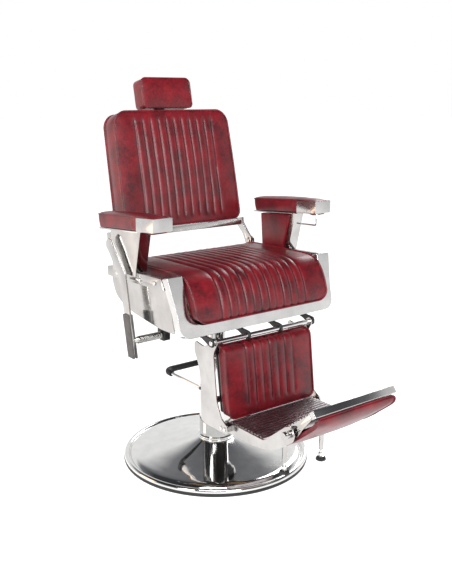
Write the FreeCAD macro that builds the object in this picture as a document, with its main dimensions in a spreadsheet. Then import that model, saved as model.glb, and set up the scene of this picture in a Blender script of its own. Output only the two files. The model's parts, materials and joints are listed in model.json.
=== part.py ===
import FreeCAD, Part

import math
import os
import re

import Sketcher

# Hydraulic barber chair, in millimetres, +Z up. The origin is the centre of the round base on the
# floor. The sitter faces -Y, so the sitter's left side is +X. The column stands part of its way up.

Vec = FreeCAD.Vector
doc = FreeCAD.newDocument("barberChair")
sheet = doc.addObject("Spreadsheet::Sheet", "sheet")

# Driving dimensions: lengths in millimetres, angles in degrees.
dimensions = {
    # pedestal
    "baseRadius": 295, "beadHeight": 24, "grooveRadius": 277, "bandInner": 257, "domeHeight": 66,
    "hubRadius": 60, "ballastRadius": 250, "footRingHeight": 6,
    # hydraulic column
    "cylinderRadius": 46, "cylinderBore": 36, "cylinderBottom": 14, "cylinderTop": 342,
    "coverRadius": 52, "coverBore": 48.5, "coverBottom": 68, "collarRadius": 58, "capTop": 350,
    "ramRadius": 30, "ramBottom": 130, "ramShoulder": 460, "journalRadius": 22, "runningGap": 0.05,
    # seat frame
    "frameBottom": 502, "frameTop": 548, "beamX": 200, "beamWide": 25, "frameFront": -192,
    "frameBack": 150, "sideX": 283, "sideThick": 3, "trimRailX": 286, "trimRailThick": 14,
    # front arch
    "archInner": 248, "archOuter": 286, "archDeep": 26, "archTall": 172, "archLean": 15,
    "archY": -202, "archBottom": 487,
    # seat
    "seatHalf": 243, "seatTop": 657, "seatPanThick": 12, "seatBack": 142, "seatLip": -247,
    # armrests
    "armInner": 262, "armWide": 63, "armTall": 38, "armFrontY": -158, "armSeamY": -72, "armBackY": 150,
    "armFrontZ": 779, "armSlope": 0.075, "bracketX": 268, "bracketWide": 36,
    "capWall": 2.5,
    # backrest, in its own leaning frame with the hinge at the origin
    "backLean": 11.9, "hingeY": 150, "hingeZ": 655, "backHalfLow": 222, "backHalfTop": 212,
    "backLow": 79, "backTop": 438, "backFront": -18.7, "backPadRear": 44, "backRear": 60,
    "armPlateX": 249, "armPlateThick": 8, "hingePinRadius": 8,
    # headrest
    "headHalf": 92, "headLow": 447, "headTop": 543, "headRear": 58, "postHalf": 20, "postThick": 8,
    # leg rest
    "legY": -232, "legZ": 470, "legRodRadius": 7, "legPlateX": 176, "legPlateThick": 4,
    "calfHalf": 162, "calfThick": 48, "calfTop": 457, "calfLow": 252, "calfTopY": -255, "calfLowY": -282,
    # footrest
    "footHalf": 155, "footPlateZ": 240, "cheekX": 156, "cheekThick": 4, "ribPitch": 12.5, "ribTall": 4,
    "flapY": -525, "flapZ": 298, "flapSlope": 38, "flapHalfLong": 106, "flapHalf": 146, "flapTop": 23,
    "knobRadius": 10, "footX": 70, "footY": -410, "footPadZ": 116, "studRadius": 4,
    # recline lever
    "leverX": -323, "leverThick": 6, "leverY": -32, "leverZ": 452, "shaftRadius": 8,
    # foot pump pedal
    "pedalX": 75, "pedalY": -25, "pedalZ": 251, "pedalBack": 176, "pedalRodRadius": 5.5,
    "pedalBend": 26, "sleeveRadius": 10,
}
for row, (alias, value) in enumerate(dimensions.items(), start=1):
    sheet.set(f"A{row}", alias)
    sheet.set(f"B{row}", str(value))
    sheet.setAlias(f"B{row}", alias)
worked = doc.addObject("Spreadsheet::Sheet", "worked")
doc.recompute()

sides = (("left", 1), ("right", -1))
parts = {}


def bound(expression):
    """The expression with each alias read from the sheet."""
    return re.sub(r"[A-Za-z]\w*", lambda w: f"sheet.{w[0]}" if w[0] in dimensions else w[0], expression)


def size(value):
    """The number that a sheet expression gives; a plain number stays itself."""
    if not isinstance(value, str):
        return float(value)
    worked.set("A1", f"={bound(value)}")
    worked.recompute()
    return float(worked.get("A1"))


def bind(thing, prop, value):
    """Tie a property to the sheet, or set it where it is a plain number."""
    if isinstance(value, str):
        thing.setExpression(prop, bound(value))
    else:
        setattr(thing, prop, value)


def newBody(name):
    body = doc.addObject("PartDesign::Body", name)
    body.Label = name
    parts[name] = body
    return body


def sketchOn(body, role, name, offset=0):
    """A sketch on one of the body's own planes, moved along the plane's normal."""
    sketch = body.newObject("Sketcher::SketchObject", name)
    plane = next(f for f in body.Origin.OriginFeatures if f.Role == role)
    sketch.AttachmentSupport = (plane, [""])
    sketch.MapMode = "FlatFace"
    sketch.AttachmentOffset = FreeCAD.Placement(Vec(0, 0, size(offset)), FreeCAD.Rotation())
    if isinstance(offset, str):
        sketch.setExpression("AttachmentOffset.Base.z", bound(offset))
    return sketch


def measure(sketch, kind, *place):
    """A driving constraint whose last value is a number or a sheet expression."""
    number = sketch.addConstraint(Sketcher.Constraint(kind, *place[:-1], size(place[-1])))
    if isinstance(place[-1], str):
        sketch.setExpression(f"Constraints[{number}]", bound(place[-1]))


def polygon(sketch, points):
    """A closed outline of straight edges through points of numbers or sheet expressions."""
    places = [Vec(size(a), size(b), 0) for a, b in points]
    first = sketch.GeometryCount
    count = len(points)
    for start, end in zip(places, places[1:] + places[:1]):
        sketch.addGeometry(Part.LineSegment(start, end), False)
    for index in range(count):
        following = first + (index + 1) % count
        sketch.addConstraint(Sketcher.Constraint("Coincident", first + index, 2, following, 1))
    for index, (across, up) in enumerate(points):
        measure(sketch, "DistanceX", -1, 1, first + index, 1, across)
        measure(sketch, "DistanceY", -1, 1, first + index, 1, up)


def circle(sketch, across, up, radius):
    centre = Vec(size(across), size(up), 0)
    edge = sketch.addGeometry(Part.Circle(centre, Vec(0, 0, 1), size(radius)), False)
    measure(sketch, "Radius", edge, radius)
    measure(sketch, "DistanceX", -1, 1, edge, 3, across)
    measure(sketch, "DistanceY", -1, 1, edge, 3, up)


def rectangle(left, low, right, high):
    return [(left, low), (right, low), (right, high), (left, high)]


def padded(body, sketch, length):
    feature = body.newObject("PartDesign::Pad", f"{sketch.Name}_pad")
    feature.Profile = sketch
    bind(feature, "Length", length)
    return feature


def cut(body, sketch, length, reverse):
    """A pocket of the given depth; it must take material away."""
    doc.recompute()
    before = body.Shape.Volume
    feature = body.newObject("PartDesign::Pocket", f"{sketch.Name}_pocket")
    feature.Profile = sketch
    feature.Reversed = reverse
    bind(feature, "Length", length)
    doc.recompute()
    if body.Shape.Volume >= before - 1:
        raise RuntimeError(f"{sketch.Name} cuts nothing")
    return feature


def softened(body, feature, radius, along):
    """Round the straight edges that run along one direction."""
    doc.recompute()
    names = []
    for index, edge in enumerate(feature.Shape.Edges, start=1):
        if isinstance(edge.Curve, Part.Line) and abs(edge.tangentAt(edge.FirstParameter).dot(along)) > 0.999:
            names.append(f"Edge{index}")
    fillet = body.newObject("PartDesign::Fillet", f"{body.Name}_corners")
    fillet.Base = (feature, names)
    bind(fillet, "Radius", radius)
    return fillet


planeNormals = {"YZ_Plane": Vec(1, 0, 0), "XZ_Plane": Vec(0, -1, 0), "XY_Plane": Vec(0, 0, 1)}


def plate(name, role, outline, start, thick, holes=(), corner=0):
    """A plate cut to an outline; it starts at one offset and grows along the plane's normal.

    On YZ_Plane it is seen from the side and grows towards +X, on XZ_Plane it is seen from the
    front and grows towards -Y, and on XY_Plane it is seen from above and grows upwards.
    """
    body = newBody(name)
    sketch = sketchOn(body, role, f"{name}_outline", start)
    polygon(sketch, outline)
    feature = padded(body, sketch, thick)
    if corner:
        feature = softened(body, feature, corner, planeNormals[role])
    if holes:
        drilling = sketchOn(body, role, f"{name}_holes", start)
        for hole in holes:
            circle(drilling, *hole)
        cut(body, drilling, thick, True)
    return body


def turned(name, outline):
    """A part turned about the vertical axis, from (radius, height) points."""
    body = newBody(name)
    sketch = sketchOn(body, "XZ_Plane", f"{name}_profile")
    polygon(sketch, outline)
    feature = body.newObject("PartDesign::Revolution", f"{name}_turn")
    feature.Profile = sketch
    feature.ReferenceAxis = (sketch, ["V_Axis"])
    feature.Angle = 360
    return body


def crossBar(name, left, right, y, z, radius):
    """A round bar along X."""
    body = newBody(name)
    sketch = sketchOn(body, "YZ_Plane", f"{name}_section", left)
    circle(sketch, y, z, radius)
    padded(body, sketch, f"({right}) - ({left})")
    return body


def group(name, solids):
    """Like pieces kept as separate solids in one node."""
    feature = doc.addObject("Part::Feature", name)
    feature.Label = name
    feature.Shape = Part.makeCompound(solids)
    parts[name] = feature
    return feature


def together(name, *members):
    """Move finished pieces into one node, where each stays a solid of its own."""
    compound = doc.addObject("Part::Compound", name)
    compound.Label = name
    compound.Links = [parts.pop(member) for member in members]
    parts[name] = compound
    return compound


def pair(name, stem):
    """One node from the left and right pieces."""
    return together(name, *[f"{stem}_{side}" for side, sign in sides])


def welded(name, *members):
    """Fuse finished pieces into the one node that they are welded into."""
    fusion = doc.addObject("Part::MultiFuse", name)
    fusion.Label = name
    fusion.Shapes = [parts.pop(member) for member in members]
    fusion.Refine = True
    parts[name] = fusion
    return fusion


def screw(place, outward, headRadius, headTall, shankRadius, shankLong):
    """A round-head screw seated on place, with its shank inward."""
    head = Part.makeCylinder(headRadius, headTall, place, outward)
    return head.fuse(Part.makeCylinder(shankRadius, shankLong, place, outward * -1)).removeSplitter()


def leaning(body, angle, y, z):
    """Turn a piece about X, drawn with that line as its origin, and stand it at (y, z)."""
    body.Placement = FreeCAD.Placement(Vec(0, size(y), size(z)), FreeCAD.Rotation(Vec(1, 0, 0), size(angle)))
    body.setExpression("Placement.Rotation.Angle", bound(angle))
    body.setExpression("Placement.Base.y", bound(y))
    body.setExpression("Placement.Base.z", bound(z))
    return body


def bentRod(name, role, offset, points, bend, radius):
    """A round rod through level or upright points, with the same arc at each corner."""
    body = newBody(name)
    path = sketchOn(body, role, f"{name}_path", offset)
    places = [Vec(size(a), size(b), 0) for a, b in points]
    turn = size(bend)
    start = places[0]
    edges = []
    for before, corner, after in zip(places, places[1:], places[2:]):
        inward = (before - corner).normalize()
        onward = (after - corner).normalize()
        reach = turn / math.tan(inward.getAngle(onward) / 2)
        middle = inward + onward
        middle.normalize()
        centre = corner + middle * (turn / math.sin(inward.getAngle(onward) / 2))
        entry = corner + inward * reach
        leave = corner + onward * reach
        edges.append(Part.LineSegment(start, entry))
        edges.append(Part.Arc(entry, centre - middle * turn, leave))
        start = leave
    edges.append(Part.LineSegment(start, places[-1]))
    for edge in edges:
        path.addGeometry(edge, False)
    for index in range(len(edges) - 1):
        joined = [(index, a, index + 1, b) for a in (1, 2) for b in (1, 2)]
        for first, a, second, b in joined:
            if path.getPoint(first, a).distanceToPoint(path.getPoint(second, b)) < 1e-6:
                path.addConstraint(Sketcher.Constraint("Coincident", first, a, second, b))
    section = body.newObject("Sketcher::SketchObject", f"{name}_section")
    section.AttachmentSupport = (path, ["Edge1"])
    section.MapMode = "NormalToEdge"
    edge = section.addGeometry(Part.Circle(Vec(0, 0, 0), Vec(0, 0, 1), size(radius)), False)
    section.addConstraint(Sketcher.Constraint("Coincident", edge, 3, -1, 1))
    measure(section, "Radius", edge, radius)
    doc.recompute()
    pipe = body.newObject("PartDesign::AdditivePipe", f"{name}_pipe")
    pipe.Profile = section
    pipe.Spine = (path, [])
    return body


# Pedestal: a spun steel cover over a ballast disc, standing on a rubber ring.
turned("base_cover", [
    ("baseRadius", "footRingHeight - 2"), ("baseRadius", "beadHeight - 7"),
    ("baseRadius - 2", "beadHeight - 2"), ("baseRadius - 8", "beadHeight"),
    ("baseRadius - 14", "beadHeight - 2"), ("grooveRadius", "beadHeight - 5"),
    ("grooveRadius - 2", "beadHeight - 2"), ("bandInner", "beadHeight + 3"), (200, 35), (140, 47), (90, 58),
    ("hubRadius", "domeHeight"), ("cylinderRadius + 1", "domeHeight"),
    ("cylinderRadius + 1", "domeHeight - 4"),
    (90, 54), (140, 43), (200, 31), ("bandInner", "beadHeight - 1"), ("grooveRadius", "beadHeight - 9"),
    ("baseRadius - 8", "beadHeight - 9"), ("baseRadius - 4", "footRingHeight - 2")])
turned("base_rubber_ring", [
    ("baseRadius - 14", 0), ("baseRadius - 1", 0), ("baseRadius - 1", "footRingHeight - 2.5"),
    ("baseRadius - 5.8", "footRingHeight - 2.5"), ("baseRadius - 5.8", "footRingHeight + 2"),
    ("baseRadius - 14", "footRingHeight + 2")])
turned("base_ballast", [
    (0, 4), ("baseRadius - 14.2", 4), ("baseRadius - 14.2", 9), ("ballastRadius", 9),
    ("ballastRadius", "cylinderBottom"), (0, "cylinderBottom")])
boltTurns = [math.radians(turn) for turn in range(30, 390, 60)]
boltPlaces = [(78 * math.cos(turn), 78 * math.sin(turn)) for turn in boltTurns]
group("base_bolts", [
    screw(Vec(across, along, size("cylinderBottom + 8")), Vec(0, 0, 1), 9, 6, 5, 7.9)
    for across, along in boltPlaces])

# Hydraulic column: flanged cylinder, polished cover tube, collar and wiper cap.
turned("pump_cylinder", [
    (0, "cylinderBottom"), (92, "cylinderBottom"), (92, "cylinderBottom + 8"),
    ("cylinderRadius", "cylinderBottom + 8"), ("cylinderRadius", "cylinderTop"),
    ("cylinderBore", "cylinderTop"), ("cylinderBore", "cylinderBottom + 11"), (0, "cylinderBottom + 11")])
flange = sketchOn(parts["pump_cylinder"], "XY_Plane", "pump_cylinder_holes", "cylinderBottom")
for across, along in boltPlaces:
    circle(flange, across, along, 5.02)
cut(parts["pump_cylinder"], flange, 8, True)
turned("column_cover", [
    ("coverBore", "coverBottom"), ("coverRadius", "coverBottom"), ("coverRadius", "cylinderTop"),
    ("coverBore", "cylinderTop")])
turned("column_collar", [
    ("coverRadius + 0.02", "domeHeight"), ("collarRadius", "domeHeight"),
    ("collarRadius + 1", "domeHeight + 4"),
    ("collarRadius", "domeHeight + 9"), ("coverRadius + 3", "domeHeight + 12"),
    ("coverRadius + 0.02", "domeHeight + 12")])
turned("column_cap", [
    ("ramRadius + runningGap", 318), ("cylinderBore - 0.02", 318), ("cylinderBore - 0.02", "cylinderTop"),
    ("coverRadius", "cylinderTop"), ("coverRadius", "capTop - 2"), ("coverRadius - 2", "capTop"),
    ("ramRadius + runningGap", "capTop")])
turned("ram_piston", [
    (0, "ramBottom"), ("cylinderBore - runningGap", "ramBottom"),
    ("cylinderBore - runningGap", "ramBottom + 9"),
    ("cylinderBore - 4", "ramBottom + 9"), ("cylinderBore - 4", "ramBottom + 15"),
    ("cylinderBore - runningGap", "ramBottom + 15"), ("cylinderBore - runningGap", "ramBottom + 24"),
    (0, "ramBottom + 24")])
turned("piston_seal", [
    ("cylinderBore - 4", "ramBottom + 9.2"), ("cylinderBore - 0.02", "ramBottom + 9.2"),
    ("cylinderBore - 0.02", "ramBottom + 14.8"), ("cylinderBore - 4", "ramBottom + 14.8")])
turned("ram_rod", [
    (0, "ramBottom + 24"), ("ramRadius", "ramBottom + 24"), ("ramRadius", "ramShoulder"),
    ("journalRadius", "ramShoulder"), ("journalRadius", "ramShoulder + 28"), (0, "ramShoulder + 28")])

welded("lift_ram", "ram_rod", "ram_piston")

# Foot pump pedal: a yoke round the column, pinned to two lugs, with a rubber tread.
for side, sign in sides:
    lugLow = 40 if sign > 0 else -size("pedalX - 8")
    lug = Part.makeBox(size("pedalX - 8") - 40, 26, 26,
                       Vec(lugLow, size("pedalY - 13"), size("pedalZ - 13")))
    outside = Part.makeCylinder(size("coverRadius + 0.02"), 60, Vec(0, 0, size("pedalZ - 30")))
    pin = Part.makeCylinder(5, 16, Vec(sign * size("pedalX - 10"), size("pedalY"), size("pedalZ")),
                            Vec(sign, 0, 0))
    group(f"pedal_lug_{side}", [lug.cut(outside).fuse(pin).removeSplitter()])
bentRod("pedal_bow", "XY_Plane", "pedalZ", [
    ("-pedalX", "pedalY + 9"), ("-pedalX", "pedalBack"), ("pedalX", "pedalBack"), ("pedalX", "pedalY + 9")],
    "pedalBend", "pedalRodRadius")
for side, sign in sides:
    eye = Part.makeCylinder(
        11, 9, Vec(sign * size("pedalX - 5"), size("pedalY"), size("pedalZ")), Vec(sign, 0, 0))
    eye = eye.cut(Part.makeCylinder(5.05, 30, Vec(sign * size("pedalX - 20"), size("pedalY"), size("pedalZ")),
                                    Vec(sign, 0, 0)))
    stub = Part.makeCylinder(size("pedalRodRadius"), 12,
                             Vec(sign * size("pedalX"), size("pedalY - 3"), size("pedalZ")), Vec(0, 1, 0))
    keep = Part.makeCylinder(5.05, 60, Vec(sign * size("pedalX - 30"), size("pedalY"), size("pedalZ")),
                             Vec(sign, 0, 0))
    group(f"pedal_eye_{side}", [eye.fuse(stub).cut(keep).removeSplitter()])

pair("pedal_lugs", "pedal_lug")
welded("pedal_yoke", "pedal_bow", "pedal_eye_left", "pedal_eye_right")

# The tread: a thick rubber sleeve that wraps the back of the yoke and both bends.
treadSolids = []
for side, sign in sides:
    barrel = Part.makeCylinder(size("sleeveRadius"), size("pedalX - pedalBend") - 1,
                               Vec(sign * 1, size("pedalBack"), size("pedalZ")), Vec(sign, 0, 0))
    end = Part.makeCylinder(size("sleeveRadius"), 12,
                            Vec(sign * size("pedalX"), size("pedalBack - pedalBend - 12"), size("pedalZ")),
                            Vec(0, 1, 0))
    bend = Part.makeTorus(size("pedalBend"), size("sleeveRadius"), Vec(0, 0, 0), Vec(0, 0, 1))
    bend.translate(Vec(sign * size("pedalX - pedalBend"), size("pedalBack - pedalBend"), size("pedalZ")))
    corner = Part.makeBox(60, 60, 60, Vec(0 if sign > 0 else -60, 0, -30))
    corner.translate(Vec(sign * size("pedalX - pedalBend"), size("pedalBack - pedalBend"), size("pedalZ")))
    treadSolids += [barrel, end, bend.common(corner)]
tread = treadSolids[0].multiFuse(treadSolids[1:])
middle = Part.makeCylinder(size("sleeveRadius"), 2, Vec(-1, size("pedalBack"), size("pedalZ")), Vec(1, 0, 0))
doc.recompute()
tread = tread.fuse(middle).cut(parts["pedal_yoke"].Shape).removeSplitter()
group("pedal_tread", tread.Solids)

# Swivel hub, mounting plate and the welded frame under the seat.
turned("swivel_sleeve", [
    ("journalRadius + runningGap", "ramShoulder + 0.1"), ("cylinderRadius - 2", "ramShoulder + 0.1"),
    ("cylinderRadius - 2", "frameBottom - 8"), ("journalRadius + runningGap", "frameBottom - 8")])
plateBolts = [(across, along, 4.92) for across in (-85, 85) for along in (-85, 85)]
plate("mount_plate", "XY_Plane", rectangle(-112, -112, 112, 112), "frameBottom - 8", 8, plateBolts, 12)
welded("swivel_hub", "swivel_sleeve", "mount_plate")
group("mount_bolts", [
    screw(Vec(across, along, size("frameBottom - 8")), Vec(0, 0, -1), 9, 6, 4.9, 7.9)
    for across, along, radius in plateBolts])
frame = newBody("frame_beams")
frameOutline = sketchOn(frame, "XY_Plane", "seat_frame_outline", "frameBottom")
polygon(frameOutline, rectangle("-beamX - beamWide", "frameFront", "beamX + beamWide", "frameBack"))
polygon(frameOutline, rectangle("-beamX", "frameFront + 30", -60, "frameBack - 30"))
polygon(frameOutline, rectangle(60, "frameFront + 30", "beamX", "frameBack - 30"))
polygon(frameOutline, rectangle(-45, "frameFront + 30", 45, -118))
polygon(frameOutline, rectangle(-45, 118, 45, "frameBack - 30"))
padded(frame, frameOutline, "frameTop - frameBottom")
wings = sketchOn(frame, "XY_Plane", "seat_frame_wings", "frameBottom + 22")
for sign in (1, -1):
    for low in ("frameFront + 30", "frameBack - 130"):
        inner, outer = f"{sign} * (beamX + beamWide)", f"{sign} * sideX"
        left, right = (inner, outer) if sign > 0 else (outer, inner)
        polygon(wings, rectangle(left, low, right, f"{low} + 30"))
padded(frame, wings, 22)

# Side plates, bright trim rails and the arch at the front.
sideOutline = [
    (-196, 504), (-163, 503), (-121, 503), (17, 519), (73, 534), (113, 553), (126, 566), (133, 600),
    (135, 638), (-156, 650)]
railOutline = [(135, 612), (135, 640), (-154, 652), (-165, 620)]
railScrews = [(-120, 634), (-45, 629), (80, 627)]
for side, sign in sides:
    start = "sideX" if sign > 0 else "-sideX - sideThick"
    plate(f"side_plate_{side}", "YZ_Plane", sideOutline, start, "sideThick")
    start = "trimRailX" if sign > 0 else "-trimRailX - trimRailThick"
    plate(f"side_rail_{side}", "YZ_Plane", railOutline, start, "trimRailThick",
          [(along, up, 3.02) for along, up in railScrews], 3)
    group(f"rail_screw_row_{side}", [
        screw(Vec(sign * size("trimRailX + trimRailThick"), along, up), Vec(sign, 0, 0), 6, 2.5, 3, 13)
        for along, up in railScrews])
pair("rail_screws", "rail_screw_row")

arch = newBody("front_arch")
archOutline = sketchOn(arch, "XZ_Plane", "front_arch_outline", 0)
polygon(archOutline, [
    ("-archOuter - 14", "archTall"), ("-archOuter", 70), ("-archOuter + 3", 38), ("-archOuter + 16", 14),
    ("-archOuter + 40", 2), ("-archOuter + 62", 0), ("archOuter - 62", 0), ("archOuter - 40", 2),
    ("archOuter - 16", 14), ("archOuter - 3", 38), ("archOuter", 70), ("archOuter + 14", "archTall"),
    ("archInner", "archTall"), ("archInner", 76), ("archInner - 8", 52), ("archInner - 26", 36),
    ("archInner - 50", 31), ("-archInner + 50", 31), ("-archInner + 26", 36), ("-archInner + 8", 52),
    ("-archInner", 76), ("-archInner", "archTall")])
padded(arch, archOutline, "archDeep")
leaning(arch, "-archLean", "archY", "archBottom")

# Seat board and cushion, with a deep front lip.
plate("seat_board", "XY_Plane", rectangle("-seatHalf + 8", "frameFront - 6", "seatHalf - 8", "seatBack - 22"),
      "frameTop", "seatPanThick", corner=25)
plate("seat_cushion", "YZ_Plane", [
    ("seatBack", "frameTop + seatPanThick"), ("seatBack", "seatTop - 6"), ("seatBack - 14", "seatTop"),
    (-150, "seatTop + 4"), (-184, "seatTop - 3"), (-216, "seatTop - 32"), ("seatLip + 4", 575),
    ("seatLip", 545), ("seatLip + 6", 534), (-222, 532), (-217, 540), (-217, 554),
    (-209, "frameTop + seatPanThick")],
    "-seatHalf", "2 * seatHalf")

# Armrests: bracket, upholstered inner panel, pad, metal cap and the towel rail.
def armLine(along, rise=0):
    """A point on the underside of the sloping armrest."""
    return (along, f"armFrontZ - armSlope * (({along}) - armFrontY) + {rise}")


panelOutline = [armLine("armSeamY + 12", -4), armLine(105, -4), (96, 636), (-28, 636)]
insetOutline = [armLine("armSeamY + 32", -7), armLine(102, -7), (93, 644), (-10, 648.5)]
for side, sign in sides:
    start = "bracketX" if sign > 0 else "-bracketX - bracketWide"
    bracket = plate(f"armrest_frame_{side}", "YZ_Plane", panelOutline, start, "bracketWide")
    recess = sketchOn(bracket, "YZ_Plane", f"armrest_frame_{side}_recess", f"{sign} * bracketX")
    polygon(recess, [armLine("armSeamY + 31", -4), armLine(110, -4), (101, 630), (-11, 630)])
    cut(bracket, recess, "bracketWide - 3", sign > 0)
    notch = sketchOn(bracket, "YZ_Plane", f"armrest_frame_{side}_notch", f"{sign} * bracketX")
    polygon(notch, [(-50, 630), (110, 630), (110, 641.6), (-50, 648.3)])
    cut(bracket, notch, "trimRailX + trimRailThick + 0.5 - bracketX", sign > 0)
    start = "armInner" if sign > 0 else "-bracketX - bracketWide + 3.2"
    plate(f"armrest_panel_{side}", "YZ_Plane", insetOutline, start, "bracketX + bracketWide - 3.2 - armInner",
          corner=4)
    middle = f"{sign} * (armInner + armWide / 2)"
    start = f"{middle} - armWide / 2 + 4"
    plate(f"armrest_tray_{side}", "YZ_Plane", [
        armLine("armSeamY", -4), armLine("armBackY - 8", -4), armLine("armBackY - 8"), armLine("armSeamY")],
        start, "armWide - 8")
    start = f"{middle} - armWide / 2"
    plate(f"armrest_pad_{side}", "YZ_Plane", [
        armLine("armSeamY + 0.3", 0.2), armLine("armBackY - 8", 0.2), armLine("armBackY", 8),
        armLine("armBackY", "armTall - 8"), armLine("armBackY - 8", "armTall"),
        armLine("armSeamY + 0.3", "armTall")],
        start, "armWide")
    nose = sketchOn(
        parts[f"armrest_pad_{side}"], "YZ_Plane", f"armrest_pad_{side}_nose", f"{start} + capWall + 0.2")
    polygon(nose, [
        armLine("armFrontY + capWall + 0.3", "capWall + 0.3"), armLine("armSeamY + 2", "capWall + 0.3"),
        armLine("armSeamY + 2", "armTall"), armLine("armFrontY + capWall + 0.3", "armTall - 1")])
    padded(parts[f"armrest_pad_{side}"], nose, "armWide - 2 * capWall - 0.4")
    plate(f"cap_floor_{side}", "YZ_Plane", [
        armLine("armFrontY + 1"), armLine("armSeamY"), armLine("armSeamY", "capWall"),
        armLine("armFrontY + 1", "capWall")],
        start, "armWide")
    plate(f"cap_front_{side}", "YZ_Plane", [
        armLine("armFrontY"), armLine("armFrontY + capWall"), armLine("armFrontY + capWall", "armTall"),
        armLine("armFrontY", "armTall")], start, "armWide")
    for edge, along in (("inner", start), ("outer", f"{start} + armWide - capWall")):
        plate(f"cap_{edge}_{side}", "YZ_Plane", [
            armLine("armFrontY + 1"), armLine("armSeamY"), armLine("armSeamY", "armTall"),
            armLine("armFrontY + 1", "armTall")], along, "capWall")
    welded(f"armrest_cap_{side}", *[f"cap_{wall}_{side}" for wall in ("floor", "front", "inner", "outer")])
    welded(f"armrest_bracket_{side}", f"armrest_frame_{side}", f"armrest_tray_{side}")
pair("armrest_panels", "armrest_panel")
pair("armrest_caps", "armrest_cap")
bentRod("towel_rail", "YZ_Plane", 279, [
    ("armFrontY + 12", "armFrontZ - 1.3"), ("armFrontY + 12", "armFrontZ - 38"),
    ("armSeamY + 12.5", "armFrontZ - 42")], 8, 2.8)

# Recline hinge: brackets on the frame with fixed pins, and the leaning back frame on them.
for side, sign in sides:
    start = "armPlateX + armPlateThick + 1" if sign > 0 else "-armPlateX - armPlateThick - 7"
    plate(f"recline_bracket_{side}", "YZ_Plane", [
        ("frameBack - 26", "frameTop"), ("frameBack", "frameTop"), ("hingeY + 14", "hingeZ - 16"),
        ("hingeY + 16", "hingeZ - 4"), ("hingeY + 10", "hingeZ + 12"), ("hingeY - 4", "hingeZ + 16"),
        ("hingeY - 15", "hingeZ + 6"), ("hingeY - 16", "hingeZ - 12")], start, 6, corner=2)
    foot = sketchOn(parts[f"recline_bracket_{side}"], "XY_Plane", f"recline_bracket_{side}_foot", "frameTop")
    left, right = ("beamX", "armPlateX + armPlateThick + 7")
    outer = rectangle(left, "frameBack - 26", right, "frameBack") if sign > 0 else \
        rectangle(f"-({right})", "frameBack - 26", f"-{left}", "frameBack")
    polygon(foot, outer)
    padded(parts[f"recline_bracket_{side}"], foot, 5)
    left, right = ("armPlateX - 4", "armPlateX + armPlateThick + 3")
    ends = (left, right) if sign > 0 else (f"-({right})", f"-({left})")
    crossBar(f"recline_pin_{side}", *ends, "hingeY", "hingeZ", "hingePinRadius")
    welded(f"recline_hinge_{side}", f"recline_bracket_{side}", f"recline_pin_{side}")
pair("recline_hinges", "recline_hinge")
armOutline = [
    (-12, -13), (6, -17), (17, -6), (25, 24), (48, 54), (48, 80), (20, 80), (20, 62), (4, 34), (-16, 8)]
for side, sign in sides:
    start = "armPlateX" if sign > 0 else "-armPlateX - armPlateThick"
    arm = plate(f"back_arm_{side}", "YZ_Plane", armOutline, start, "armPlateThick",
                holes=[(0, 0, "hingePinRadius + runningGap")])
    leaning(arm, "-backLean", "hingeY", "hingeZ")
back = newBody("back_beams")
beam = sketchOn(back, "YZ_Plane", "back_frame_beam", "-armPlateX")
polygon(beam, rectangle(22, "backLow - 23", "backPadRear + 3", "backLow - 4"))
padded(back, beam, "2 * armPlateX")
for index, low in enumerate((-165, 125)):
    upright = sketchOn(back, "XZ_Plane", f"back_frame_upright{index}", "-backPadRear - 4")
    polygon(upright, rectangle(low, "backLow - 23", low + 40, "backTop - 90"))
    padded(back, upright, 3.9)
leaning(back, "-backLean", "hingeY", "hingeZ")
welded("back_frame", "back_beams", "back_arm_left", "back_arm_right")
leaning(plate("back_trim", "YZ_Plane", rectangle("backFront + 8", "backLow - 3.5", 20, "backLow - 0.5"),
              "-backHalfLow + 14", "2 * backHalfLow - 28"), "-backLean", "hingeY", "hingeZ")
backOutline = [
    ("-backHalfLow + 14", "backLow"), ("backHalfLow - 14", "backLow"), ("backHalfLow - 4", "backLow + 5"),
    ("backHalfLow", "backLow + 16"), ("backHalfTop", "backTop - 22"), ("backHalfTop - 7", "backTop - 6"),
    ("backHalfTop - 22", "backTop"), ("-backHalfTop + 22", "backTop"), ("-backHalfTop + 7", "backTop - 6"),
    ("-backHalfTop", "backTop - 22"), ("-backHalfLow", "backLow + 16"), ("-backHalfLow + 4", "backLow + 5")]
leaning(plate("back_cushion", "XZ_Plane", backOutline, "-backPadRear + 0.1", "backPadRear - 0.1 - backFront"),
        "-backLean", "hingeY", "hingeZ")
leaning(plate("back_shell", "XZ_Plane", backOutline, "-backRear", "backRear - backPadRear - 4"),
        "-backLean", "hingeY", "hingeZ")

# Headrest on a flat post that slides in a clamp behind the back.
clamp = plate("headrest_clamp", "XY_Plane", rectangle(
    "-postHalf - 9", "backRear", "postHalf + 9", "backRear + postThick + 8"), "backTop - 70", 52, corner=2)
slot = sketchOn(clamp, "XY_Plane", "headrest_clamp_slot", "backTop - 70")
polygon(slot, rectangle("-postHalf - runningGap", "backRear + 2 - runningGap",
                        "postHalf + runningGap", "backRear + postThick + 2 + runningGap"))
cut(clamp, slot, 52, True)
leaning(clamp, "-backLean", "hingeY", "hingeZ")
leaning(plate("headrest_stem", "XZ_Plane", rectangle(
    "-postHalf", "backTop - 110", "postHalf", "headTop - 16"),
    "-backRear - 2 - postThick", "postThick"), "-backLean", "hingeY", "hingeZ")
leaning(plate("headrest_board", "XZ_Plane", rectangle(
    "-headHalf + 14", "headLow + 12", "headHalf - 14", "headTop - 12"),
    "-backRear - 1.9", "backRear + 1.8 - headRear", corner=8), "-backLean", "hingeY", "hingeZ")
welded("headrest_post", "headrest_stem", "headrest_board")
leaning(plate("headrest_cushion", "XZ_Plane", rectangle("-headHalf", "headLow", "headHalf", "headTop"),
              "-headRear", "headRear - 1", corner=16), "-backLean", "hingeY", "hingeZ")

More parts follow.
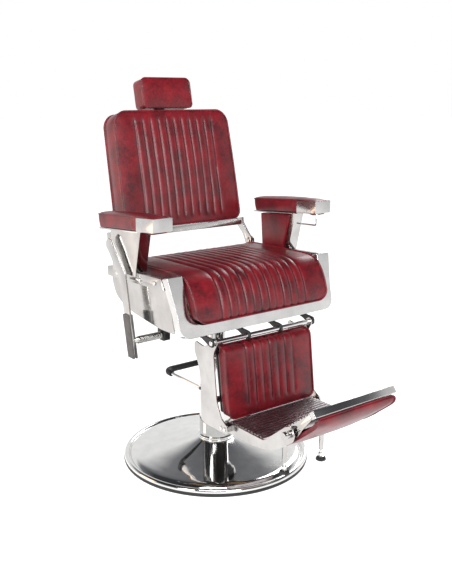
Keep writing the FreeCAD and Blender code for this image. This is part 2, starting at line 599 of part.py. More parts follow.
# Leg rest: rod and brackets on the seat frame, two side plates, calf board and cushion.
crossBar("leg_rod", "-legPlateX - 16", "legPlateX + 16", "legY", "legZ", "legRodRadius")
hangerPlaces = (-188, -60, 60, 188)
for index, middle in enumerate(hangerPlaces):
    plate(f"leg_hanger_{index}", "YZ_Plane", [
        ("legY - 11", "legZ - 5"), ("legY - 5", "legZ - 11"), ("legY + 5", "legZ - 11"), (-190, 474),
        (-150, 480), (-135, "frameBottom"), (-190, "frameBottom"), (-196, 486), ("legY + 8", 485),
        ("legY - 6", 483), ("legY - 11", "legZ + 6")],
        middle - 3, 6, [("legY", "legZ", "legRodRadius + 0.01")])
welded("seat_frame", "frame_beams", *[f"leg_hanger_{index}" for index in range(len(hangerPlaces))])
legOutline = [
    (-137, 448), (-138, 424), (-156, 388), (-168, 348), (-170, 222), (-200, 216), (-289, 216), (-294, 226),
    (-290, 242), (-263, 258), (-243, 300), (-227, 436), ("legY - 13", "legZ - 3"), ("legY - 9", "legZ + 9"),
    ("legY", "legZ + 13"),
    ("legY + 9", "legZ + 9"), ("legY + 20", "legZ - 12"), (-180, 448), (-146, 454)]
footBolts = [(-280, 229), (-264, 229)]
for side, sign in sides:
    start = "legPlateX" if sign > 0 else "-legPlateX - legPlateThick"
    plate(f"leg_plate_{side}", "YZ_Plane", legOutline, start, "legPlateThick",
          [("legY", "legZ", "legRodRadius + runningGap")] + [(along, up, 3.52) for along, up in footBolts])
crossBar("leg_tube_upper", "-legPlateX", "legPlateX", -189.5, 425, 9)
crossBar("leg_tube_lower", "-legPlateX", "legPlateX", -209.2, 290, 9)
together("leg_tubes", "leg_tube_upper", "leg_tube_lower")
plate("calf_board", "YZ_Plane", [
    ("calfTopY + calfThick + 1.5", "calfTop - 10"), ("calfLowY + calfThick + 1", "calfLow + 6"),
    ("calfLowY + calfThick + 11", "calfLow + 6"), ("calfTopY + calfThick + 11.5", "calfTop - 10")],
    "-calfHalf + 12", "2 * calfHalf - 24")
plate("calf_cushion", "YZ_Plane", [
    ("calfTopY + 12", "calfTop"), ("calfTopY", "calfTop - 12"), ("calfLowY", "calfLow + 12"),
    ("calfLowY + 10", "calfLow"), ("calfLowY + calfThick", "calfLow"), ("calfTopY + calfThick", "calfTop")],
    "-calfHalf", "2 * calfHalf")

# Footrest: cheeks bolted to the leg plates, a ribbed tread, and a toe flap that turns over between them.
cheekOutline = [
    (-256, 212), (-369, 211), (-440, 220), (-497, 250), (-538, 280), (-543, 300), (-536, 314), (-522, 318),
    (-508, 312), (-446, 262), (-424, 244), (-256, 244)]
for side, sign in sides:
    start = "cheekX" if sign > 0 else "-cheekX - cheekThick"
    plate(f"cheek_plate_{side}", "YZ_Plane", cheekOutline, start, "cheekThick",
          holes=[("flapY", "flapZ", "knobRadius - 4 + runningGap")])
    start = "cheekX + cheekThick" if sign > 0 else "-legPlateX"
    plate(f"foot_spacer_{side}", "YZ_Plane", rectangle(-286, 220, -258, 238), start,
          "legPlateX - cheekX - cheekThick", corner=3)
    welded(f"foot_cheek_{side}", f"cheek_plate_{side}", f"foot_spacer_{side}")
    group(f"foot_bolt_pair_{side}", [
        screw(Vec(sign * size("legPlateX + legPlateThick"), along, up), Vec(sign, 0, 0), 6, 3, 3.5, 3.9)
        for along, up in footBolts])
pair("foot_bolts", "foot_bolt_pair")
tread = newBody("foot_tread")
treadBase = sketchOn(tread, "XY_Plane", "foot_tread_base", "footPlateZ")
polygon(treadBase, rectangle("-footHalf", -422, "footHalf", -272))
padded(tread, treadBase, 4)
ribSketch = sketchOn(tread, "XY_Plane", "foot_tread_rib", "footPlateZ + 4")
polygon(ribSketch, rectangle("-footHalf", -421, "footHalf", "-421 + 6"))
firstRib = padded(tread, ribSketch, "ribTall")
doc.recompute()
ribs = tread.newObject("PartDesign::LinearPattern", "foot_tread_ribs")
ribs.Originals = [firstRib]
ribs.Direction = (ribSketch, ["V_Axis"])
ribs.Length = 137.5
ribs.Occurrences = 12
ribs.setExpression("Length", bound("ribPitch * 11"))
tread.Tip = ribs
plate("foot_beam", "XZ_Plane", rectangle("-cheekX", 220, "cheekX", "footPlateZ"), "-footY - 10", 20)
plate("foot_beam_rear", "XZ_Plane", rectangle("-cheekX", 218, "cheekX", "footPlateZ"), 278, 18)
for side, sign in sides:
    post = turned(f"foot_post_{side}", [
        ("studRadius + runningGap", 150), (7, 150), (7, 219.9), ("studRadius + runningGap", 219.9)])
    post.Placement.Base = Vec(sign * size("footX"), size("footY"), 0)
    stud = turned(f"levelling_stud_{side}", [
        (0, "footPadZ + 6"), (9, "footPadZ + 6"), (9, "footPadZ + 11"), ("studRadius", "footPadZ + 11"),
        ("studRadius", 200), (0, 200)])
    stud.Placement.Base = Vec(sign * size("footX"), size("footY"), 0)
    shoe = turned(f"levelling_shoe_{side}", [
        (0, "footPadZ"), (13, "footPadZ"), (15, "footPadZ + 2"), (13, "footPadZ + 9"), (9.1, "footPadZ + 11"),
        (9.1, "footPadZ + 5.9"), (0, "footPadZ + 5.9")])
    shoe.Placement.Base = Vec(sign * size("footX"), size("footY"), 0)
    together(f"levelling_foot_{side}", f"levelling_stud_{side}", f"levelling_shoe_{side}")
welded("foot_frame", "foot_beam", "foot_beam_rear", "foot_post_left", "foot_post_right")

# The flap is drawn level, with its pins on the X axis, and stands at its slope.
flap = newBody("flap_tread")
flapBase = sketchOn(flap, "YZ_Plane", "flap_tread_base", "-flapHalf")
polygon(flapBase, rectangle("-flapHalfLong + 16", "flapTop - 8", "flapHalfLong", "flapTop - 4"))
padded(flap, flapBase, "2 * flapHalf")
flapRib = sketchOn(flap, "XY_Plane", "flap_tread_rib", "flapTop - 4")
polygon(flapRib, rectangle("-flapHalf", "-flapHalfLong + 20", "flapHalf", "-flapHalfLong + 26"))
firstRib = padded(flap, flapRib, "ribTall")
doc.recompute()
ribs = flap.newObject("PartDesign::LinearPattern", "flap_tread_ribs")
ribs.Originals = [firstRib]
ribs.Direction = (flapRib, ["V_Axis"])
ribs.Length = 175
ribs.Occurrences = 15
ribs.setExpression("Length", bound("ribPitch * 14"))
flap.Tip = ribs
flapNodes = [flap]
flapNodes.append(plate("flap_trim", "YZ_Plane", rectangle(
    "-flapHalfLong", "flapTop - 20", "-flapHalfLong + 15.8", "flapTop"),
    "-flapHalf - 3", "2 * flapHalf + 6", corner=2))
flapNodes.append(plate("flap_cushion", "YZ_Plane", [
    ("-flapHalfLong + 16.2", "flapTop - 8.2"), ("-flapHalfLong + 16.2", "flapTop - 21"),
    ("-flapHalfLong + 2", "flapTop - 21"), ("-flapHalfLong + 4", "flapTop - 34"),
    ("-flapHalfLong + 20", "flapTop - 46"), (60, "flapTop - 46"), (92, "flapTop - 30"),
    (98, "flapTop - 8.2")], "-flapHalf", "2 * flapHalf"))
for side, sign in sides:
    start = "flapHalf + 0.1" if sign > 0 else "-flapHalf - 3.1"
    cheek = plate(f"flap_side_{side}", "YZ_Plane", [
        ("-flapHalfLong + 16", "flapTop - 4"), ("-flapHalfLong + 16", "flapTop - 18"), (-40, -6),
        (-14, -14), (14, -14), (60, 2), (92, "flapTop - 12"), (92, "flapTop - 4")], start, 3, corner=1)
    pin = sketchOn(cheek, "YZ_Plane", f"flap_side_{side}_pin",
                   "flapHalf + 2" if sign > 0 else "-cheekX - cheekThick - 22")
    circle(pin, 0, 0, "knobRadius - 4")
    padded(cheek, pin, "cheekX + cheekThick + 20 - flapHalf")
    knob = sketchOn(cheek, "YZ_Plane", f"flap_side_{side}_knob",
                    "cheekX + cheekThick + 1" if sign > 0 else "-cheekX - cheekThick - 22")
    circle(knob, 0, 0, "knobRadius")
    padded(cheek, knob, 21)
    flapNodes.append(cheek)
for node in flapNodes:
    leaning(node, "-flapSlope", "flapY", "flapZ")
pair("flap_sides", "flap_side")

# Recline lever on a cross shaft, with its block, bracket and return spring.
leverOutline = [
    (-45, 404), (-19, 404), (7, 527), (31, 626), (80, 688), (99, 706), (98, 722), (86, 733), (73, 729),
    (-3, 642), (-23, 527)]
plate("lever_bar", "YZ_Plane", leverOutline, "leverX", "leverThick", corner=3)
gripOutline = [(-48, 402), (-16, 402), (9, 524), (-24, 527)]
plate("lever_grip_outer", "YZ_Plane", gripOutline, "leverX - 4", 4, corner=2)
plate("lever_grip_inner", "YZ_Plane", gripOutline, "leverX + leverThick", 4,
      [("leverY", "leverZ", "shaftRadius + 0.3")], 2)
together("lever_grip", "lever_grip_outer", "lever_grip_inner")
crossBar("lever_shaft", "leverX + leverThick - 1", "-beamX - 3", "leverY", "leverZ", "shaftRadius")
welded("recline_lever", "lever_bar", "lever_shaft")
plate("lever_block", "YZ_Plane", [
    ("leverY - 17", "leverZ - 15"), ("leverY + 17", "leverZ - 15"), ("leverY + 17", "frameBottom"),
    ("leverY - 17", "frameBottom")], "-beamX - beamWide", "beamWide - 3", [
    ("leverY", "leverZ", "shaftRadius + runningGap")], 4)
spring = newBody("lever_spring")
springRing = sketchOn(spring, "YZ_Plane", "lever_spring_section", "leverX + leverThick + 12")
circle(springRing, "leverY", "leverZ", "shaftRadius + 3.4")
circle(springRing, "leverY", "leverZ", "shaftRadius + 0.8")
padded(spring, springRing, "-beamX - beamWide - leverX - leverThick - 12")

doc.recompute()
for thing in doc.Objects:
    if "Invalid" in thing.State or "Error" in thing.State:
        raise RuntimeError(f"{thing.Name} failed: {thing.State}")
for name, part in parts.items():
    if part.Shape.isNull() or not part.Shape.isValid() or not part.Shape.Solids:
        raise RuntimeError(f"{name} has no valid solid")
os.makedirs("parts", exist_ok=True)
for name, part in parts.items():
    part.Shape.exportStep(f"parts/{name}.step")
print(len(parts), "nodes", sum(len(part.Shape.Solids) for part in parts.values()), "solids")
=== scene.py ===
import json
import math

import bmesh
import bpy
import numpy as np
from mathutils import Matrix, Vector
from mathutils import noise as soundNoise


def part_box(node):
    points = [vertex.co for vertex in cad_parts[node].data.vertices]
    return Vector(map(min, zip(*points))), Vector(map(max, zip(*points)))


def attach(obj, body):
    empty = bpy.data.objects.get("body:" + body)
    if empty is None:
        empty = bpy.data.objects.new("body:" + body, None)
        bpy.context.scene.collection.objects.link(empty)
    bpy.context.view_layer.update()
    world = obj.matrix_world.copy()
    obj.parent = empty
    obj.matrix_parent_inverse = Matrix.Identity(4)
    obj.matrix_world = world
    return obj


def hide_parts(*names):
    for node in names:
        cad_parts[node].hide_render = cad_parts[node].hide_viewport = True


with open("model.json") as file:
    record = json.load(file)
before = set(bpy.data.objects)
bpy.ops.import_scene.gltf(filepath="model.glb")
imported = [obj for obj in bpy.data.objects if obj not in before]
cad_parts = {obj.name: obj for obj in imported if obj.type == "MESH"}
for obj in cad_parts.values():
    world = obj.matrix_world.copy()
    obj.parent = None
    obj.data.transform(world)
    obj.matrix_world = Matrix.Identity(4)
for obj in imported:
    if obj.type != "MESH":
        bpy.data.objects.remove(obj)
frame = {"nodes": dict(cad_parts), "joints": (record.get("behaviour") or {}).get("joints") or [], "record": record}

# The barber chair's looks. Metres, +Z up, the sitter faces -Y and sits with their left at +X.

scene = bpy.context.scene
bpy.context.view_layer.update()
nodes = frame["nodes"]
bodyOf = {node: body for body, members in frame["record"]["behaviour"]["bodies"].items() for node in members}
jointAt = {joint["name"]: joint for joint in frame["joints"]}


def hexColor(code):
    # sRGB hex to the linear values that the shaders take
    values = [int(code[i:i + 2], 16) / 255 for i in (1, 3, 5)]
    return [v / 12.92 if v <= 0.04045 else ((v + 0.055) / 1.055) ** 2.4 for v in values] + [1.0]


def addNode(tree, kind, inputs=None, **settings):
    node = tree.nodes.new(kind)
    for name, value in settings.items():
        setattr(node, name, value)
    for name, value in (inputs or {}).items():
        if isinstance(value, bpy.types.NodeSocket):
            tree.links.new(value, node.inputs[name])
        else:
            node.inputs[name].default_value = value
    return node


def newSurface(name):
    # an empty material with its Principled shader, and the object coordinates that its patterns read
    material = bpy.data.materials.new(name)
    material.use_nodes = True
    tree = material.node_tree
    tree.nodes.clear()
    shader = addNode(tree, "ShaderNodeBsdfPrincipled")
    addNode(tree, "ShaderNodeOutputMaterial", {"Surface": shader.outputs["BSDF"]})
    where = addNode(tree, "ShaderNodeTexCoord").outputs["Object"]
    return material, tree, shader, where


def ramp(tree, factor, stops):
    # colour stops are (place, hex)
    node = addNode(tree, "ShaderNodeValToRGB", {"Fac": factor})
    while len(node.color_ramp.elements) < len(stops):
        node.color_ramp.elements.new(0.5)
    for element, (place, code) in zip(node.color_ramp.elements, stops):
        element.position = place
        element.color = hexColor(code)
    return node.outputs["Color"]


def newObject(name, verts, faces, material, smooth=True):
    mesh = bpy.data.meshes.new(name)
    mesh.from_pydata([tuple(v) for v in verts], [], faces)
    mesh.update()
    mesh.polygons.foreach_set("use_smooth", [smooth] * len(mesh.polygons))
    mesh.materials.append(material)
    piece = bpy.data.objects.new(name, mesh)
    scene.collection.objects.link(piece)
    return piece


def asPlainMesh(piece):
    # the evaluated shape becomes the object's own mesh, and the modifiers go
    bpy.context.view_layer.update()
    graph = bpy.context.evaluated_depsgraph_get()
    mesh = bpy.data.meshes.new_from_object(piece.evaluated_get(graph))
    if piece.type == "MESH":
        piece.modifiers.clear()
        piece.data = mesh
        return piece
    plain = bpy.data.objects.new(piece.name + "Mesh", mesh)
    scene.collection.objects.link(plain)
    bpy.data.objects.remove(piece)
    return plain


def fauxLeather():
    # oxblood PVC leatherette: a glossy skin over a mottled print, with painted shade darkening it along its sewn
    # creases, and a fine pebble grain
    look = {"blotchMm": 55, "mottleMm": 9, "grainMm": 1.5, "grainHeight": 0.00014, "creaseHeight": 0.0006,
            "roughness": 0.35, "mottleShare": 0.55}
    material, tree, shader, where = newSurface("oxbloodLeatherette")
    blotch = addNode(tree, "ShaderNodeTexNoise", {
        "Vector": where, "Scale": 1000 / look["blotchMm"], "Detail": 3.0})
    mottle = addNode(tree, "ShaderNodeTexNoise", {
        "Vector": where, "Scale": 1000 / look["mottleMm"], "Detail": 6.0, "Roughness": 0.7,
        "Distortion": 1.2})
    mixed = addNode(tree, "ShaderNodeMath", {
        0: blotch.outputs["Fac"], 1: 1 - look["mottleShare"]}, operation="MULTIPLY")
    both = addNode(tree, "ShaderNodeMath", {
        0: mottle.outputs["Fac"], 1: look["mottleShare"], 2: mixed.outputs[0]}, operation="MULTIPLY_ADD")
    skin = ramp(tree, both.outputs[0], [
        (0.34, "#2f0a10"), (0.45, "#570c16"), (0.55, "#700e19"), (0.70, "#831622")])
    # painted shade: the skin is mixed towards near-black #2b070c where the seamShade mark says a sewn crease lies
    seamShade = addNode(tree, "ShaderNodeAttribute", attribute_name="seamShade")
    seamShaded = addNode(tree, "ShaderNodeMix", {
        0: seamShade.outputs["Fac"], 6: skin, 7: hexColor("#2b070c")}, data_type="RGBA")
    tree.links.new(seamShaded.outputs[2], shader.inputs["Base Color"])
    rough = addNode(tree, "ShaderNodeMapRange", {
        "Value": mottle.outputs["Fac"], "From Min": 0.3, "From Max": 0.7,
        "To Min": look["roughness"] - 0.05, "To Max": look["roughness"] + 0.09})
    tree.links.new(rough.outputs["Result"], shader.inputs["Roughness"])
    pebble = addNode(tree, "ShaderNodeTexVoronoi", {"Vector": where, "Scale": 1000 / look["grainMm"]})
    bump = addNode(tree, "ShaderNodeBump", {
        "Height": pebble.outputs["Distance"], "Distance": look["grainHeight"], "Strength": 0.5})
    crease = addNode(tree, "ShaderNodeBump", {
        "Height": mottle.outputs["Fac"], "Distance": look["creaseHeight"], "Strength": 0.35,
        "Normal": bump.outputs["Normal"]})
    tree.links.new(crease.outputs["Normal"], shader.inputs["Normal"])
    shader.inputs["IOR"].default_value = 1.46
    shader.inputs["Coat Weight"].default_value = 0.12
    shader.inputs["Coat Roughness"].default_value = 0.2
    return material


def polishedChrome():
    # chromium plate buffed to a mirror; faint polishing haze keeps it from looking like glass
    look = {"hazeMm": 40, "roughness": 0.035}
    material, tree, shader, where = newSurface("polishedChrome")
    haze = addNode(tree, "ShaderNodeTexNoise", {
        "Vector": where, "Scale": 1000 / look["hazeMm"], "Detail": 4.0})
    rough = addNode(tree, "ShaderNodeMapRange", {
        "Value": haze.outputs["Fac"], "From Min": 0.35, "From Max": 0.7,
        "To Min": look["roughness"], "To Max": look["roughness"] + 0.05})
    tree.links.new(rough.outputs["Result"], shader.inputs["Roughness"])
    tint = ramp(tree, haze.outputs["Fac"], [(0.3, "#d4d4d3"), (0.7, "#e0dfdd")])
    tree.links.new(tint, shader.inputs["Base Color"])
    shader.inputs["Metallic"].default_value = 1.0
    return material


def stainlessSteel(name, grain, roughness, tone):
    # rolled stainless sheet, finished with a belt along one direction: hair-fine lines that spread its
    # reflections; grain is how often the lines change along X, Y and Z, per metre
    material, tree, shader, where = newSurface(name)
    across = addNode(tree, "ShaderNodeMapping", {"Vector": where, "Scale": grain})
    lines = addNode(tree, "ShaderNodeTexNoise", {
        "Vector": across.outputs["Vector"], "Scale": 1.0, "Detail": 3.0, "Roughness": 0.6})
    cloud = addNode(tree, "ShaderNodeTexNoise", {"Vector": where, "Scale": 14.0, "Detail": 3.0})
    rough = addNode(tree, "ShaderNodeMapRange", {
        "Value": lines.outputs["Fac"], "From Min": 0.3, "From Max": 0.7,
        "To Min": roughness - 0.05, "To Max": roughness + 0.07})
    tree.links.new(rough.outputs["Result"], shader.inputs["Roughness"])
    bump = addNode(tree, "ShaderNodeBump", {
        "Height": lines.outputs["Fac"], "Distance": 0.00005, "Strength": 0.35})
    tree.links.new(bump.outputs["Normal"], shader.inputs["Normal"])
    tint = ramp(tree, cloud.outputs["Fac"], [(0.3, tone[0]), (0.7, tone[1])])
    tree.links.new(tint, shader.inputs["Base Color"])
    shader.inputs["Metallic"].default_value = 1.0
    return material


def mouldedRubber():
    # black nitrile rubber: matt, with a slight bloom and a mould texture
    look = {"textureMm": 1.2, "roughness": 0.62}
    material, tree, shader, where = newSurface("blackRubber")
    texture = addNode(tree, "ShaderNodeTexNoise", {
        "Vector": where, "Scale": 1000 / look["textureMm"], "Detail": 2.0})
    bloom = addNode(tree, "ShaderNodeTexNoise", {"Vector": where, "Scale": 60.0, "Detail": 3.0})
    tint = ramp(tree, bloom.outputs["Fac"], [(0.3, "#141414"), (0.75, "#242424")])
    tree.links.new(tint, shader.inputs["Base Color"])
    bump = addNode(tree, "ShaderNodeBump", {
        "Height": texture.outputs["Fac"], "Distance": 0.0001, "Strength": 0.5})
    tree.links.new(bump.outputs["Normal"], shader.inputs["Normal"])
    shader.inputs["Roughness"].default_value = look["roughness"]
    return material


def satinPaint():
    # stove enamel over pressed steel: satin black with orange peel
    look = {"peelMm": 3, "roughness": 0.42}
    material, tree, shader, where = newSurface("satinBlackEnamel")
    peel = addNode(tree, "ShaderNodeTexNoise", {
        "Vector": where, "Scale": 1000 / look["peelMm"], "Detail": 1.0})
    dust = addNode(tree, "ShaderNodeTexNoise", {"Vector": where, "Scale": 25.0, "Detail": 4.0})
    tint = ramp(tree, dust.outputs["Fac"], [(0.3, "#101011"), (0.8, "#1d1d1f")])
    tree.links.new(tint, shader.inputs["Base Color"])
    bump = addNode(tree, "ShaderNodeBump", {
        "Height": peel.outputs["Fac"], "Distance": 0.00008, "Strength": 0.4})
    tree.links.new(bump.outputs["Normal"], shader.inputs["Normal"])
    shader.inputs["Roughness"].default_value = look["roughness"]
    return material


def birchPly():
    # birch plywood, rotary cut: pale, with long soft figure along X
    material, tree, shader, where = newSurface("birchPlywood")
    stretched = addNode(tree, "ShaderNodeMapping", {"Vector": where, "Scale": (4.0, 70.0, 70.0)})
    figure = addNode(tree, "ShaderNodeTexNoise", {
        "Vector": stretched.outputs["Vector"], "Scale": 1.0, "Detail": 5.0, "Distortion": 0.6})
    tint = ramp(tree, figure.outputs["Fac"], [(0.3, "#a9855a"), (0.7, "#c9a678")])
    tree.links.new(tint, shader.inputs["Base Color"])
    shader.inputs["Roughness"].default_value = 0.55
    return material


def vinylGrip():
    # dipped grey vinyl: rubbery, with a faint ripple from dipping
    material, tree, shader, where = newSurface("greyVinyl")
    ripple = addNode(tree, "ShaderNodeTexNoise", {"Vector": where, "Scale": 90.0, "Detail": 2.0})
    tint = ramp(tree, ripple.outputs["Fac"], [(0.3, "#3b3a3a"), (0.7, "#524f4e")])
    tree.links.new(tint, shader.inputs["Base Color"])
    bump = addNode(tree, "ShaderNodeBump", {
        "Height": ripple.outputs["Fac"], "Distance": 0.0003, "Strength": 0.5})
    tree.links.new(bump.outputs["Normal"], shader.inputs["Normal"])
    shader.inputs["Roughness"].default_value = 0.4
    return material


leather = fauxLeather()
chrome = polishedChrome()
steelAcross = stainlessSteel("brushedStainlessAcross", (6.0, 900.0, 900.0), 0.19, ("#b6b5b4", "#cbcac9"))
steelAlong = stainlessSteel("brushedStainlessAlong", (900.0, 6.0, 900.0), 0.2, ("#aeadac", "#c4c3c1"))
steelPolished = stainlessSteel("polishedStainless", (40.0, 40.0, 300.0), 0.12, ("#b2b0ae", "#c8c6c4"))
steelArch = stainlessSteel("polishedArchStainless", (40.0, 300.0, 300.0), 0.13, ("#cfcecd", "#e2e1e0"))
steelTread = stainlessSteel("ribbedTreadStainless", (8.0, 700.0, 700.0), 0.24, ("#a9a2a4", "#beb7b9"))
rubber = mouldedRubber()
enamel = satinPaint()
plywood = birchPly()
vinyl = vinylGrip()
print("materials ready")


# Metal, rubber and wood parts are merged copies of the frame's parts with their hard edges eased.
# Each has its material and the width of its eased edge in millimetres.
easedParts = {
    "base_ballast": (enamel, 0.6), "base_bolts": (steelPolished, 0.4),
    "pump_cylinder": (enamel, 0.6), "pedal_lugs": (enamel, 1.2), "pedal_tread": (rubber, 0.8),
    "piston_seal": (rubber, 0.2), "lift_ram": (chrome, 0.6), "swivel_hub": (enamel, 1.0),
    "mount_bolts": (steelPolished, 0.4), "seat_frame": (enamel, 1.5), "side_rail_left": (steelAlong, 1.6),
    "side_rail_right": (steelAlong, 1.6), "rail_screws": (chrome, 0.8), "seat_board": (plywood, 1.0),
    "armrest_bracket_left": (steelPolished, 1.2), "armrest_bracket_right": (steelPolished, 1.2),
    "armrest_caps": (steelAcross, 0.9),
    "towel_rail": (chrome, 0.3), "recline_hinges": (steelPolished, 0.8), "leg_rod": (chrome, 0.6),
    "lever_block": (enamel, 1.5), "back_frame": (steelPolished, 1.0), "back_trim": (steelAcross, 0.7),
    "headrest_clamp": (steelPolished, 0.8), "headrest_post": (steelPolished, 0.8),
    "leg_tubes": (steelPolished, 0.5), "calf_board": (enamel, 1.5),
    "foot_frame": (steelPolished, 0.8), "foot_bolts": (chrome, 0.8), "foot_tread": (steelTread, 0.9),
    "flap_tread": (steelTread, 0.9), "flap_trim": (steelAcross, 1.2), "flap_sides": (steelPolished, 1.0),
    "recline_lever": (steelPolished, 1.2), "lever_grip": (vinyl, 1.6), "pedal_yoke": (chrome, 0.5),
    "column_cap": (chrome, 0.8)}


easingRule = {"mergeWithin": 2e-6, "flatWithin": math.radians(0.6), "sharpOver": math.radians(38)}


def easedCopy(nodeName, material, bevelMm, segments=2):
    shape = bmesh.new()
    shape.from_mesh(nodes[nodeName].data)
    bmesh.ops.remove_doubles(shape, verts=shape.verts, dist=easingRule["mergeWithin"])
    bmesh.ops.dissolve_limit(
        shape, angle_limit=easingRule["flatWithin"], verts=shape.verts, edges=shape.edges)
    mesh = bpy.data.meshes.new(nodeName + "Eased")
    shape.to_mesh(mesh)
    shape.free()
    mesh.polygons.foreach_set("use_smooth", [True] * len(mesh.polygons))
    mesh.materials.clear()
    mesh.materials.append(material)
    piece = bpy.data.objects.new(nodeName + "Eased", mesh)
    scene.collection.objects.link(piece)
    easing = piece.modifiers.new("easing", "BEVEL")
    easing.width = bevelMm / 1000
    easing.segments = segments
    easing.limit_method = "ANGLE"
    easing.angle_limit = easingRule["sharpOver"]
    easing.use_clamp_overlap = True
    easing.harden_normals = True
    asPlainMesh(piece)
    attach(piece, bodyOf[nodeName])
    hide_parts(nodeName)
    return piece


for nodeName, (material, bevelMm) in easedParts.items():
    easedCopy(nodeName, material, bevelMm)
print("eased parts ready")


sharpTurn = math.radians(32)  # edges of a turned part that bend more than this stay crisp


def turnedPiece(name, profile, material, body, replaced, segments=160, centre=(0, 0)):
    # profile is a closed outline of (radius, height) points in millimetres, spun about an upright line
    # through centre
    verts = []
    faces = []
    count = len(profile)
    for step in range(segments):
        angle = 2 * math.pi * step / segments
        for radius, height in profile:
            x = radius * math.cos(angle) + centre[0]
            y = radius * math.sin(angle) + centre[1]
            verts.append((x / 1000, y / 1000, height / 1000))
    for step in range(segments):
        here = step * count
        there = (step + 1) % segments * count
        for index in range(count):
            following = (index + 1) % count
            faces.append((here + index, there + index, there + following, here + following))
    piece = newObject(name, verts, faces, material)
    shape = bmesh.new()
    shape.from_mesh(piece.data)
    bmesh.ops.recalc_face_normals(shape, faces=shape.faces)
    for edge in shape.edges:
        if len(edge.link_faces) == 2 and edge.calc_face_angle() > sharpTurn:
            edge.smooth = False
    shape.to_mesh(piece.data)
    shape.free()
    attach(piece, body)
    if replaced:
        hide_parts(replaced)
    return piece


def smoothLine(points, steps=8):
    # a Catmull-Rom line through the points
    line = []
    padded = [points[0]] + list(points) + [points[-1]]
    for a, b, c, d in zip(padded, padded[1:], padded[2:], padded[3:]):
        for step in range(steps):
            t = step / steps
            line.append(tuple(
                0.5 * (2 * q + (r - p) * t + (2 * p - 5 * q + 4 * r - s) * t * t
                       + (3 * q - p - 3 * r + s) * t ** 3)
                for p, q, r, s in zip(a, b, c, d)))
    line.append(tuple(points[-1]))
    return line


def arcLine(centre, radius, start, end, steps=10):
    # points along an arc, by angles in degrees
    turns = [math.radians(start + (end - start) * step / steps) for step in range(steps + 1)]
    return [(centre[0] + radius * math.cos(turn), centre[1] + radius * math.sin(turn)) for turn in turns]


base = {"rim": 295, "beadRadius": 8.5, "beadHeight": 15.3, "groove": 276.5, "dome": 66, "hub": 58,
        "bore": 48, "sheet": 3.5, "segments": 220}
domeTop = smoothLine([(base["groove"], 17.5), (base["groove"] - 5, 22), (262, 26.5), (235, 31), (200, 36.5),
                      (160, 43.5), (120, 51), (90, 57.5), (70, 62.5), (base["hub"], base["dome"])])
bead = arcLine((base["rim"] - base["beadRadius"], base["beadHeight"]), base["beadRadius"], -16, 165, 16)
inside = [(base["bore"], base["dome"]), (base["bore"], base["dome"] - base["sheet"])]
inside += [(radius, height - base["sheet"]) for radius, height in reversed(domeTop[8:])]
inside += [(base["rim"] - 4.5, 9)]
turnedPiece("baseCoverShell", bead + domeTop + inside, chrome, "base", "base_cover", base["segments"])
ringProfile = [(281, 0), (291, 0), (294.4, 2.4), (295.6, 7), (295.5, 11), (294.4, 13.4), (291, 13.6),
               (281, 9)]
turnedPiece("rubberRim", ringProfile, rubber, "base", "base_rubber_ring", base["segments"])

column = {"cover": 52, "bore": 48.6, "foot": 68, "top": 342}
turnedPiece("columnCoverTube", [
    (column["bore"], column["foot"]), (column["cover"], column["foot"]), (column["cover"], column["top"] - 1),
    (column["cover"] - 1, column["top"]), (column["bore"], column["top"])], chrome, "base", "column_cover")
collarRings = [(52.1, 66.2), (57, 66.2), (58.8, 67.5), (59, 69.5), (58.2, 71.2), (56, 72.2), (55.6, 73.4),
               (56.8, 74.4), (56.6, 76.2), (54.5, 77.8), (52.1, 78)]
turnedPiece("columnCollarRings", collarRings, chrome, "base", "column_collar")
foot = {"x": 70, "y": -410, "low": 116}
studProfile = [(0.02, 6.2), (8.6, 6.2), (8.8, 8), (8.2, 11.4), (4.2, 12.5), (4, 17), (7.2, 17.4), (7.2, 22.6),
               (4, 23), (4, 83.6), (3.2, 84), (0.02, 84)]
shoeProfile = [(0.02, 0), (12.6, 0), (14.8, 1.6), (15, 3.5), (13.6, 7.4), (11.4, 10), (9.3, 11), (9, 6.3),
               (0.02, 6.1)]
bothSides = (("left", 1), ("right", -1))
for side, sign in bothSides:
    spot = (sign * foot["x"], foot["y"])
    turnedPiece(f"levellingStud_{side}", [(r, z + foot["low"]) for r, z in studProfile], chrome,
                f"levelling_foot_{side}", f"levelling_foot_{side}", 32, spot)
    turnedPiece(f"levellingShoe_{side}", [(r, z + foot["low"]) for r, z in shoeProfile], rubber,
                f"levelling_foot_{side}", None, 40, spot)
print("turned parts ready")


def rounded(corners):
    # corners are (across, up, radius) in millimetres
    outline = []
    for index, (a, b, radius) in enumerate(corners):
        corner = Vector((a, b))
        before = Vector(corners[index - 1][:2]) - corner
        after = Vector(corners[(index + 1) % len(corners)][:2]) - corner
        half = before.angle(after) / 2
        if radius == 0 or half > math.radians(89.5):
            outline.append(corner)
            continue
        back = min(radius / math.tan(half), 0.48 * min(before.length, after.length))
        centre = corner + (before.normalized() + after.normalized()).normalized() * (back / math.cos(half))
        first = corner + before.normalized() * back - centre
        last = corner + after.normalized() * back - centre
        turn = math.atan2(first.x * last.y - first.y * last.x, first.dot(last))
        steps = max(3, int(abs(turn) * 6) + 2)
        for step in range(steps + 1):
            outline.append(centre + Matrix.Rotation(turn * step / steps, 2) @ first)
    return outline


